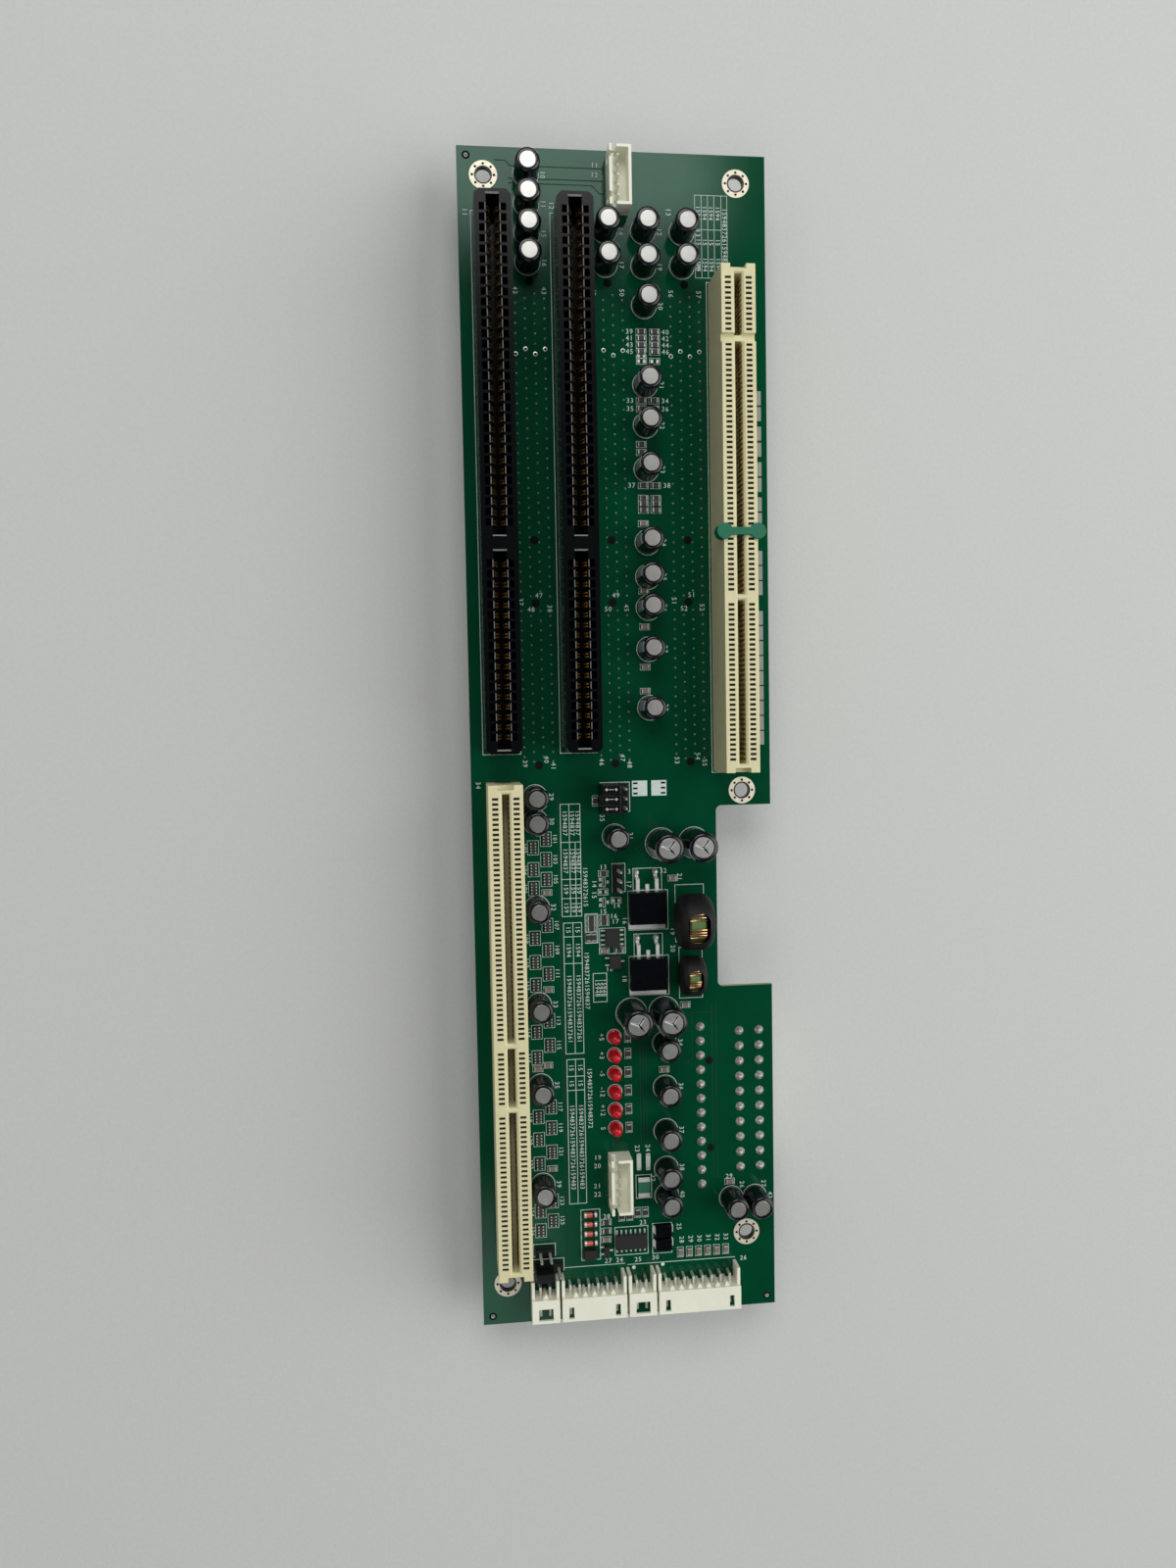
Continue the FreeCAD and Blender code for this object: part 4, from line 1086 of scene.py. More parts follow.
class BACKPLANE_OT_wafer_headers(bpy.types.Operator):
    """Dress the white wafer headers and build their pointed pins"""

    bl_idname = "backplane.wafer_headers"
    bl_label = "Wafer headers"

    # Start, height, reach and half width of a tooth, and the share of its width left at its edge
    TOOTH = (0.8, 5.4, 1.2, 0.72, 0.15)
    CHEEK_LONG = 4.6
    # How far a side-entry header's front, and the tips of its pins, stand behind the solid's front
    SET_BACK = 1.9
    PIN_BACK = 2.7
    # Start and end of a window behind that front, its width on each side of a pin, and the roof it is in
    WINDOW = (0.75, 3.9)
    WINDOW_HALF = 0.65
    ROOF = 0.8

    def execute(self, context):
        s = sizes()
        for node in ("keyboard_header_1", "keyboard_header_2"):
            dress(node, white_plastic, "wafer_plastic", s.plastic_edge, 2)
        for node in EDGE_HEADERS:
            self.edge_header(node)
        pin_row("keyboard_header_pins")
        pins = dressed("edge_header_pins", 0.0)
        self.shorten(pins, EDGE_HEADERS[0], self.PIN_BACK)
        hand_over(paint(rounded(pins, s.metal_edge), tin), "edge_header_pins_finished", "tinned_metal",
                  "edge_header_pins")
        self.comb()
        return {"FINISHED"}

    def shorten(self, piece, node, back):
        """Takes the front off a piece, up to a line behind a header's front."""
        low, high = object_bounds()
        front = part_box(node)[0].y
        cut(piece, block((low.x - MM, front - MM, low.z - MM), (high.x + MM, front + back * MM, high.z + MM)))

    def row(self, node):
        """Places of a side-entry header's pins across the board."""
        low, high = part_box(node)
        return sorted(middle(box).x for box in solids("edge_header_pins") if low.x < middle(box).x < high.x)

    def edge_header(self, node):
        """A side-entry header with its front set back from the edge and closed windows in its roof."""
        body = dressed(node, 0.0)
        self.shorten(body, node, self.SET_BACK)
        low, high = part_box(node)
        front = low.y + self.SET_BACK * MM
        start, stop = (front + place * MM for place in self.WINDOW)
        inside = self.ROOF / 2 * MM
        bar = block((low.x + inside, front, high.z - self.ROOF * MM), (high.x - inside, start, high.z))
        modify(body, "BOOLEAN", object=bar, operation="UNION", solver="EXACT")
        discard(bar)
        row = self.row(node)
        spans = [(row[0], row[-1])] if len(row) == 2 else [(row[0], row[0]), (row[-1], row[-1])]
        half = self.WINDOW_HALF * MM
        for first, last in spans:
            cut(body, block((first - half, start, high.z - MM), (last + half, stop, high.z + MM)))
        rounded(body, sizes().plastic_edge, 2)
        hand_over(paint(body, white_plastic), f"{node}_finished", "wafer_plastic", node)

    def comb(self):
        """Pointed teeth behind the side-entry headers, one between each two pins."""
        start, high, out, half, edge = self.TOOTH
        tooth = block((-half * MM, 0, start * MM), (half * MM, out * MM, high * MM))
        with editing(tooth):
            pick("FACE", lambda centre, normal: normal.y > 0.9)
            bpy.ops.transform.resize(value=(edge, 1.0, 1.0), center_override=(0, out * MM, 0))
        places = []
        for node in EDGE_HEADERS:
            low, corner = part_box(node)
            wall = corner.y - self.CHEEK_LONG * MM
            row = self.row(node)
            places += [Vector(((left + right) / 2, wall, low.z)) for left, right in zip(row, row[1:])]
        set_out(tooth, white_plastic, places, "edge_header_teeth", "wafer_plastic")


# Length of a pin's point and width of its tip, as shares of the pin's side
PIN_POINT = 0.8
PIN_TIP = 0.4


def pointed_pin(box, down=False):
    """A square pin in the place of a solid, with its free end drawn to a blunt point."""
    low, high = box
    pin = block(low, high)
    end, way = (low.z, -1) if down else (high.z, 1)
    side = high.x - low.x
    with editing(pin):
        pick("FACE", lambda centre, normal: normal.z * way > 0.9)
        bpy.ops.transform.translate(value=(0, 0, -way * side * PIN_POINT))
        bpy.ops.mesh.extrude_region_move(TRANSFORM_OT_translate={"value": (0, 0, way * side * PIN_POINT)})
        centre = Vector(((low.x + high.x) / 2, (low.y + high.y) / 2, end))
        bpy.ops.transform.resize(value=(PIN_TIP, PIN_TIP, 1.0), center_override=centre)
    return pin


def pin_row(node, down=False):
    """Pointed pins in the place of a node's solids."""
    pins = joined([pointed_pin(box, down) for box in solids(node)], "pins")
    hand_over(paint(pins, tin), f"{node}_finished", "tinned_metal", node)


class BACKPLANE_OT_jumpers(bpy.types.Operator):
    """Dress the jumper blocks and shunts, and build their pins"""

    bl_idname = "backplane.jumpers"
    bl_label = "Jumpers"

    # Shunts further down the board than this have plain closed tops
    CLOSED_BELOW = 200
    SHUNT_EDGE = 0.2
    SHUNT_WALL = 0.5
    WELL_DEEP = 0.9
    # How far the pin tips stand from the middle of a shunt
    TIP_OUT = 1.27

    def execute(self, context):
        s = sizes()
        for node in ("voltage_jumper_block", "bus_mode_jumper_block", "power_jumper_block_1",
                     "power_jumper_block_2"):
            dress(node, black_plastic, "jumper_plastic", s.plastic_edge * 1.4, 2)
        self.shunts()
        pin_row("jumper_pins")
        return {"FINISHED"}

    def shunts(self):
        """Shunts whose open top shows the contact strip and two pin tips, and closed ones lower down."""
        boxes = solids("jumper_shunts")
        size = boxes[0][1] - boxes[0][0]
        half = Vector((max(size.xy) / 2, min(size.xy) / 2, 0))
        shell = block((-half.x, -half.y, -size.z), half, self.SHUNT_EDGE * MM, 2)
        wall = Vector((self.SHUNT_WALL * MM, self.SHUNT_WALL * MM, 0))
        well = Vector((0, 0, self.WELL_DEEP * MM))
        closed = paint(twin(shell), black_plastic)
        cut(shell, block(wall - half - well, half - wall + well))
        strip = block((-1.75 * MM, -0.12 * MM, -0.92 * MM), (1.75 * MM, 0.12 * MM, -0.75 * MM), 0.05 * MM)
        tip = turned([(0, -0.92), (0.55, -0.92), (0.55, -0.45), (0.3, -0.2), (0, -0.2)], 4)
        tips = copies(tip, "tips", [(-self.TIP_OUT * MM, 0, 0), (self.TIP_OUT * MM, 0, 0)])
        shunt = joined([paint(shell, black_plastic), paint(strip, tin), paint(tips, tin)], "shunt")
        open_places, closed_places = [], []
        for low, high in boxes:
            lies_across = high.x - low.x > high.y - low.y
            top = Vector((*middle((low, high)).xy, high.z))
            places = open_places if top.y > at(0, self.CLOSED_BELOW).y else closed_places
            places.append(Matrix.Translation(top) @ turn(0.0 if lies_across else QUARTER_TURN))
        both = [copies(shunt, "open", open_places), copies(closed, "closed", closed_places)]
        hand_over(joined(both, "shunts"), "jumper_shunts_finished", "jumper_plastic", "jumper_shunts")


# Lamps, power parts and circuits

class BACKPLANE_OT_lamps(bpy.types.Operator):
    """Build the six red lamps with their flanges"""

    bl_idname = "backplane.lamps"
    bl_label = "Lamps"

    FLANGE_OUT = 0.4

    def execute(self, context):
        for node in LAMPS:
            low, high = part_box(node)
            radius = (high.x - low.x) / 2 / MM
            tall = (high.z - low.z) / MM
            dome = rounding(radius, (0, tall - radius), 0, 90, 8)
            lamp = turned([(0, 0), (radius + self.FLANGE_OUT, 0), (radius + self.FLANGE_OUT, 0.7),
                           (radius + 0.05, 0.85), (radius, 1.0)] + dome, 32)
            set_out(lamp, lamp_resin, [foot((low, high))], f"{node}_finished", "lamp_plastic", node)
        return {"FINISHED"}


class BACKPLANE_OT_power_transistors(bpy.types.Operator):
    """Dress the two power transistors and sink their mould marks"""

    bl_idname = "backplane.power_transistors"
    bl_label = "Power transistors"

    LEAD_OUT = 2.54
    FOOT_IN = 0.7

    def execute(self, context):
        s = sizes()
        for index in (1, 2):
            case = f"transistor_case_{index}"
            low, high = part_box(case)
            body = dressed(case, s.plastic_edge * 1.5, 2)
            mark = turned([(0, -0.12), (0.7, -0.12), (0.75, 0.3), (0, 0.3)], 20)
            spot = Vector((low.x + 2.0 * MM, low.y + 2.2 * MM, high.z))
            cut(body, copies(mark, "mark", [spot]))
            hand_over(paint(body, dark_epoxy), f"{case}_finished", "moulded_epoxy", case)
            dress(f"transistor_metal_{index}", tin, "tinned_metal", s.metal_edge * 1.5)
        self.feet()
        return {"FINISHED"}

    def feet(self):
        """Solder heaped over the feet of the outer leads."""
        heap = turned([(0, 0), (0.85, 0), (0.75, 0.45), (0.45, 0.9), (0, 1.0)], 16)
        spots = []
        for index in (1, 2):
            low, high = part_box(f"transistor_metal_{index}")
            centre = middle((low, high)).x
            row = high.y - self.FOOT_IN * MM
            spots += [Vector((centre + out * MM, row, FRONT)) for out in (-self.LEAD_OUT, self.LEAD_OUT)]
        set_out(heap, solder, spots, "transistor_feet_solder", "tinned_metal")


class BACKPLANE_OT_chokes(bpy.types.Operator):
    """Build the ring chokes: core, copper turns and wrinkled sleeve with its window"""

    bl_idname = "backplane.chokes"
    bl_label = "Chokes"

    GROUPS = 8
    GROUP_TURNS = (-10.8, -3.6, 3.6, 10.8)
    # Radius of the wire, and the half width of the core that it suits; other cores scale it
    WIRE = 0.24
    WIRE_CORE = 2.2
    BORE_SHARE = 7.0 / 11.8
    WINDOW = (0.62, 0.54)
    WINDOW_SHIFT = -0.06
    WALL_SHARE = 0.034

    def execute(self, context):
        for index in (1, 2):
            self.core_and_winding(index)
            self.sleeve(index)
        return {"FINISHED"}

    def core_and_winding(self, index):
        node = f"choke_core_{index}"
        low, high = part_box(node)
        centre = Matrix.Translation(middle((low, high))) @ turn(QUARTER_TURN, "Y")
        outer = (high.z - low.z) / 2 / MM
        inner = outer * self.BORE_SHARE
        half = (high.x - low.x) / 2 / MM
        soft = half * 0.2
        wire_wide = self.WIRE * half / self.WIRE_CORE
        ring = turned([(inner, half - soft), (inner + soft, half), (outer - soft, half), (outer, half - soft),
                       (outer, soft - half), (outer - soft, -half), (inner + soft, -half),
                       (inner, soft - half), (inner, half - soft)], 48)
        set_out(ring, core_coat, [centre], f"{node}_finished", "core_coating", node)
        loop = self.loop((outer - inner) / 2 + wire_wide, half + wire_wide, wire_wide)
        upright = Matrix.Translation(((outer + inner) / 2 * MM, 0, 0)) @ turn(QUARTER_TURN, "X")
        angles = [360 * (group + 0.5) / self.GROUPS + step
                  for group in range(self.GROUPS) for step in self.GROUP_TURNS]
        places = [centre @ turn(math.radians(angle)) @ upright for angle in angles]
        winding = f"choke_winding_{index}"
        set_out(loop, copper_wire, places, f"{winding}_finished", "copper_wire", winding)

    def loop(self, across, along, radius):
        """One turn of wire: a rectangle with round corners."""
        bend = radius * 2.2
        route = []
        for x, y, start in ((1, 1, 0), (-1, 1, 90), (-1, -1, 180), (1, -1, 270)):
            route += rounding(bend, (x * (across - bend), y * (along - bend)), start, start + 90, 2)
        return wire([(x * MM, y * MM) for x, y in route], radius * MM, 2, True)

    def sleeve(self, index):
        node = f"choke_sleeve_{index}"
        low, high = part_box(node)
        centre = middle((low, high))
        size = high - low
        outer = self.soft_body(centre, size, 0.0)
        cut(outer, self.soft_body(centre, size, self.WALL_SHARE * size.y))
        half = Vector((self.WINDOW[0] * size.x / 2, self.WINDOW[1] * size.y / 2, size.z))
        spot = centre + Vector((0, self.WINDOW_SHIFT * size.y, size.z))
        cut(outer, block(spot - half, spot + half, half.x * 0.8, 4))
        hand_over(paint(outer, shrink_sleeve), f"{node}_finished", "shrink_sleeve", node)

    def soft_body(self, centre, size, inset):
        """A fat disc on edge with well rounded rims."""
        radius = size.y / 2 - inset
        wide = size.x - 2 * inset
        bpy.ops.mesh.primitive_cylinder_add(vertices=48, radius=radius, depth=wide, location=centre,
                                            rotation=(0, QUARTER_TURN, 0))
        body = settle(bpy.context.object)
        with editing(body):
            pick("EDGE", lambda place, way: abs(place.x - centre.x) > wide * 0.4 and abs(way.x) < 0.5)
            bpy.ops.mesh.bevel(offset=wide * 0.32, segments=6, affect="EDGES")
        return body


class BACKPLANE_OT_circuits(bpy.types.Operator):
    """Dress the integrated circuits with their first-pin marks and bent leads"""

    bl_idname = "backplane.circuits"
    bl_label = "Circuits"

    def execute(self, context):
        s = sizes()
        for node in ("logic_circuit", "regulator_circuit", "switch_transistor_1", "switch_transistor_2"):
            low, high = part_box(node)
            body = dressed(node, s.plastic_edge, 2)
            if node in ("logic_circuit", "regulator_circuit"):
                mark = turned([(0, -0.08), (0.36, -0.08), (0.4, 0.3), (0, 0.3)], 16)
                cut(body, copies(mark, "mark", [Vector((low.x + 0.8 * MM, low.y + 0.8 * MM, high.z))]))
            hand_over(paint(body, epoxy), f"{node}_finished", "moulded_epoxy", node)
        dress("circuit_leads", tin, "tinned_metal", s.metal_edge * 0.6)
        return {"FINISHED"}


class BACKPLANE_OT_diodes(bpy.types.Operator):
    """Build the glass diodes and dress the moulded diodes, the capacitor and the fuse"""

    bl_idname = "backplane.diodes"
    bl_label = "Diodes and fuse"

    CAP_LONG = 0.6
    # Reach and height of the flat and the upright part of a moulded diode's lead, and its half width
    LEAD_PARTS = ((0.6, 0.3), (0.15, 1.4))
    LEAD_HALF = 1.05
    FUSE_END = 1.35
    # Section of a diode's dark band: share of the radius, and distance from the diode's end
    BAND = ((0.95, 1.25), (0.97, 1.2), (0.97, 0.8), (0.95, 0.75), (0.9, 1.0), (0.95, 1.25))

    def execute(self, context):
        s = sizes()
        boxes = [box for box in solids("glass_diodes") if box[1].x - box[0].x > 1.2 * MM]
        wide = (boxes[0][1].z - boxes[0][0].z) / MM
        radius = wide / 2
        half = (boxes[0][1].x - boxes[0][0].x) / 2 / MM
        face = half - 0.5
        glass = turned([(0, -face), (radius * 0.9, -face), (radius * 0.94, 0), (radius * 0.9, face),
                        (0, face)], 24)
        caps = []
        for side in (-1, 1):
            cap = turned([(0, side * half), (radius * 0.8, side * half), (radius, side * (half - 0.15)),
                          (radius, side * (half - self.CAP_LONG)), (0, side * (half - self.CAP_LONG))], 24)
            caps.append(paint(cap, tin))
        band = turned([(radius * share, half - back) for share, back in self.BAND], 24)
        whole = joined([paint(glass, diode_glass), *caps, paint(band, black_plastic)], "glass_diode")
        places = [Matrix.Translation(middle(box)) @ turn(QUARTER_TURN, "Y") for box in boxes]
        hand_over(copies(whole, "glass", places), "glass_diodes_finished", "diode_glass", "glass_diodes")
        dress("moulded_diodes", dark_epoxy, "moulded_epoxy", s.plastic_edge, 2)
        dress("moulded_capacitor", epoxy, "moulded_epoxy", s.plastic_edge, 2)
        leads = []
        for low, high in solids("moulded_diodes"):
            centre = middle((low, high)).y
            for end, way in ((low.x, -1), (high.x, 1)):
                for out, up in self.LEAD_PARTS:
                    left, right = sorted((end, end + way * out * MM))
                    leads.append(block((left, centre - self.LEAD_HALF * MM, FRONT),
                                       (right, centre + self.LEAD_HALF * MM, FRONT + up * MM)))
        hand_over(paint(joined(leads, "leads"), tin), "moulded_diode_leads", "tinned_metal")
        self.fuse()
        return {"FINISHED"}

    def fuse(self):
        """A flat green fuse between two plated ends."""
        low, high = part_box("resettable_fuse")
        body = paint(dressed("resettable_fuse", sizes().plastic_edge, 2), fuse_coat)
        ends = []
        long = self.FUSE_END * MM
        for start, stop in ((low.y, low.y + long), (high.y - long, high.y)):
            end = block((low.x, start, low.z), (high.x, stop, high.z + 0.03 * MM), 0.1 * MM)
            ends.append(paint(end, tin))
        fuse = joined([body, *ends], "fuse")
        hand_over(fuse, "resettable_fuse_finished", "fuse_coating", "resettable_fuse")


# Small surface parts

class BACKPLANE_OT_arrays_and_chips(bpy.types.Operator):
    """Build the resistor arrays, bus arrays, chip resistors and chip capacitors"""

    bl_idname = "backplane.arrays_and_chips"
    bl_label = "Arrays and chips"

    CHIP = (2.0, 1.25, 0.6)
    CAPACITOR_CHIPS = ((19.3, 191.94), (19.3, 217.99), (19.3, 266.66), (15.95, 239.24), (53.25, 189.2),
                       (56.2, 223.75), (46.63, 112.75), (46.66, 122.1), (46.66, 132.7), (46.56, 139.1),
                       (46.74, 95.14), (34.4, 208.2), (18.6, 238.4), (67.9, 273.3), (33.55, 287.2),
                       (50.2, 241.2))
    RESISTOR_CHIPS = ((46.9, 85.2), (50.2, 85.2), (46.85, 88.5), (50.2, 88.5), (46.85, 90.0), (50.2, 90.0),
                      (46.85, 91.6), (50.2, 91.6), (46.7, 63.25), (50.05, 63.25), (46.7, 65.35),
                      (50.05, 65.35), (46.55, 74.54), (46.55, 76.64), (34.5, 187.4), (31.0, 199.2),
                      (31.0, 200.6), (31.0, 202.0), (34.4, 199.2), (34.4, 200.6), (38.4, 208.1),
                      (33.65, 282.4), (33.6, 284.8))
    UPRIGHT_CHIPS = ((32.7, 167.9), (30.24, 204.4), (31.65, 204.4), (40.3, 231.85), (40.3, 236.3),
                     (40.3, 241.4), (40.3, 246.4), (40.3, 251.5), (40.3, 256.6), (42.3, 280.3), (44.4, 280.3),
                     (37.9, 281.0), (40.1, 281.0))
    BARE_PLACES = ((34.35, 192.3), (37.85, 194.7), (46.9, 51.6), (46.9, 53.1), (50.4, 53.1))
    BARE_THREES = ((34.6, 189.7), (34.55, 195.1))
    BOTTOM_ROW = (53.93, 292.15, 2.52, 6)
    UPPER_BLOCK = ((46.9, 50.45), (45.6, 47.3, 49.0, 50.7))
    BEADS = ((42.8, 266.2), (45.3, 266.3))
    BEAD_LONG = 2.3
    # Line of the bus arrays across the board, and their half width, half length and height
    BUS_LINE = 77.3
    BUS_ARRAY = (1.35, 1.85, 0.55)
    BUS_ARRAYS = (60.5, 64.6, 69.7, 73.9, 79.0, 83.1, 88.2, 92.3, 102.3, 106.3, 110.3, 118.2, 122.2, 126.2,
                  130.2, 134.2, 138.2, 142.2, 146.2, 150.2)

    def execute(self, context):
        self.resistor_arrays()
        self.bus_arrays()
        places = self.level([*self.upper_block(), *self.RESISTOR_CHIPS]) + self.upright(self.UPRIGHT_CHIPS)
        hand_over(copies(self.chip(chip_body), "chips", places), "chip_resistors", "chip_ceramic")
        places = self.level(self.CAPACITOR_CHIPS) + self.upright(self.bottom_row())
        hand_over(copies(self.chip(ceramic), "tan", places), "chip_capacitors", "chip_ceramic")
        longer = Matrix.Scale(self.BEAD_LONG, 4, (1, 0, 0))
        places = [place @ longer for place in self.upright(self.BEADS)]
        hand_over(copies(self.chip(pale_ceramic), "beads", places), "bead_chokes", "chip_ceramic")
        self.bare_pads()
        return {"FINISHED"}

    @classmethod
    def upper_block(cls):
        columns, rows = cls.UPPER_BLOCK
        return [(across, down) for across in columns for down in rows]

    @classmethod
    def bottom_row(cls):
        across, down, step, count = cls.BOTTOM_ROW
        return [(across + step * index, down) for index in range(count)]

    def level(self, spots):
        return [Matrix.Translation(at(*spot)) for spot in spots]

    def upright(self, spots):
        return [place @ turn(QUARTER_TURN) for place in self.level(spots)]

    def bare_pads(self):
        """Tinned pads of the places that were left without a part."""
        pad = block((-0.35 * MM, -0.45 * MM, 0.0), (0.35 * MM, 0.45 * MM, 0.05 * MM), 0.02 * MM)
        spots = [at(across + side * 0.75, down) for across, down in self.BARE_PLACES for side in (-1, 1)]
        for across, down in self.BARE_THREES:
            spots += [at(across - 1.0, down - 0.75), at(across - 1.0, down + 0.75), at(across + 1.0, down)]
        set_out(pad, solder, spots, "bare_pads", "tinned_metal")

    def chip(self, maker):
        """A chip with its two metal ends and a low body between them."""
        long, wide, high = (size * MM for size in self.CHIP)
        end = 0.32 * MM
        flank = wide / 2 - 0.03 * MM
        body = block((end - long / 2, -flank, 0.02 * MM), (long / 2 - end, flank, high))
        parts = [paint(body, maker)]
        for side in (-1, 1):
            outer = side * long / 2
            inner = outer - side * (end + 0.05 * MM)
            cap = block((min(outer, inner), -wide / 2, 0.0), (max(outer, inner), wide / 2, high + 0.02 * MM),
                        0.08 * MM)
            parts.append(paint(cap, solder))
        return joined(parts, "chip")

    def resistor_arrays(self):
        boxes = solids("resistor_arrays")
        size = boxes[0][1] - boxes[0][0]
        body = block((-size.x / 2, -size.y / 2, 0.0), (size.x / 2, size.y / 2, size.z), 0.05 * MM)
        parts = [paint(body, chip_body)]
        bead = block((-0.18 * MM, -0.2 * MM, 0.01 * MM), (0.18 * MM, 0.2 * MM, size.z + 0.04 * MM), 0.06 * MM)
        spots = []
        for side in (-1, 1):
            for step in range(4):
                spots.append((side * (size.x / 2 - 0.2 * MM), (step - 1.5) * size.y / 4, 0.0))
        parts.append(paint(copies(bead, "ends", spots), tin))
        arrays = copies(joined(parts, "array"), "arrays", [foot(box) for box in boxes])
        hand_over(arrays, "resistor_arrays_finished", "chip_ceramic", "resistor_arrays")

    def bus_arrays(self):
        wide, long, high = (size * MM for size in self.BUS_ARRAY)
        body = block((-wide, -long, 0.0), (wide, long, high), 0.08 * MM)
        places = [at(self.BUS_LINE, down + self.BUS_ARRAY[1]) for down in self.BUS_ARRAYS]
        set_out(body, grey_ceramic, places, "bus_arrays", "chip_ceramic")


class BACKPLANE_OT_rear_power(bpy.types.Operator):
    """Dress the power socket and the power header on the back"""

    bl_idname = "backplane.rear_power"
    bl_label = "Rear power connectors"

    def execute(self, context):
        s = sizes()
        for node in ("power_socket", "power_header"):
            dress(node, white_plastic, "power_plastic", s.plastic_edge, 2)
        for node in ("power_socket_pins", "power_header_pins"):
            pin_row(node, down=True)
        return {"FINISHED"}


# Solder

class BACKPLANE_OT_solder(bpy.types.Operator):
    """Set the solder joints of every tail on the side opposite its part"""

    bl_idname = "backplane.solder"
    bl_label = "Solder joints"

    COLUMNS = (-3.81, -1.27, 1.27, 3.81)
    ISA_COLUMNS = (-2.54, 2.54)
    POWER_COLUMNS = (71.0, 76.5)
    POWER_ROWS = (231.6, 4.2, 10)
    HEADER_COLUMN = 60.2
    HEADER_ROWS = (230.0, 3.96, 12)
    # Distance between the two leads of a small can, a large can and a lamp
    LEAD_PITCHES = (2.0, 3.5, 2.54)

    def execute(self, context):
        s = sizes()
        wide = s.solder_wide / 2 / MM
        high = s.solder_high / MM
        front = []
        open_holes = []
        for node in REAR_SLOTS:
            tails, empty = self.slot_tails(node, KEYED_FOR_3V)
            front += [Vector((*spot, FRONT)) for spot in tails]
            open_holes += [Vector((*spot, FRONT)) for spot in empty]
        joint = self.joint(wide, high)
        set_out(joint, tail_solder, front, "front_solder", "tinned_metal")
        ring = turned([(0.36, 0.0), (0.58, 0.0), (0.56, 0.04), (0.4, 0.05), (0.36, 0.0)], 14)
        set_out(ring, tail_solder, open_holes, "open_holes", "tinned_metal")
        first, step, count = self.POWER_ROWS
        power = [at(across, first + step * row) for row in range(count) for across in self.POWER_COLUMNS]
        first, step, count = self.HEADER_ROWS
        power += [at(self.HEADER_COLUMN, first + step * row) for row in range(count)]
        big = self.joint(s.power_solder_wide / 2 / MM, 1.25, True)
        set_out(big, solder, power, "power_solder", "tinned_metal")
        self.back_joints(wide, high)
        return {"FINISHED"}

    def joint(self, wide, high, cut_pin=False):
        """A cone of solder that rises to the cut tail."""
        tip = wide * (0.3 if cut_pin else 0.34)
        sides = 16 if cut_pin else 9
        return turned([(0, -0.02), (wide, -0.02), (wide * 0.86, high * 0.22), (wide * 0.55, high * 0.62),
                       (tip, high * 0.92), (tip * 0.6, high), (0, high)], sides)

    def slot_tails(self, node, sections):
        """Places of the tails under a slot, and of the plated holes left empty at its first key."""
        low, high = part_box(node)
        line = (low.x + high.x) / 2
        first = high.y - PCI_END * MM
        used = {index for start, end in sections for index in range(start, end + 1)}
        tails, empty = [], []
        for index in range(KEYED_FOR_3V[-1][1] + 1):
            for column, across in enumerate(self.COLUMNS):
                if column % 2 != index % 2:
                    continue
                spot = (line + across * MM, first - index * PCI_PITCH * MM)
                (tails if index in used else empty).append(spot)
        key_end = first - KEYED_FOR_3V[1][0] * PCI_PITCH * MM
        return tails, [spot for spot in empty if spot[1] > key_end]

    def back_joints(self, wide, high):
        spots = []
        for node, sections in zip(FRONT_SLOTS, (KEYED_FOR_5V, KEYED_FOR_3V)):
            spots += self.slot_tails(node, sections)[0]
        for node in ISA_SLOTS:
            line, first, _ = slot_place(node, ISA_END).translation
            rows = [index for start, end in ISA_SECTIONS for index in range(start, end + 1)]
            spots += [(line + across * MM, first - row * ISA_PITCH * MM)
                      for row in rows for across in self.ISA_COLUMNS]
        for box, pitch in round_parts(*self.LEAD_PITCHES):
            centre = middle(box)
            spots += [(centre.x + side * pitch / 2 * MM, centre.y) for side in (-1, 1)]
        for node in ("keyboard_header_pins", "jumper_pins"):
            spots += [tuple(middle(box).xy) for box in solids(node)]
        flip = turn(HALF_TURN, "X")
        places = [Matrix.Translation((*spot, BACK)) @ flip for spot in spots]
        set_out(self.joint(wide, high), solder, places, "back_solder", "tinned_metal")


# Print

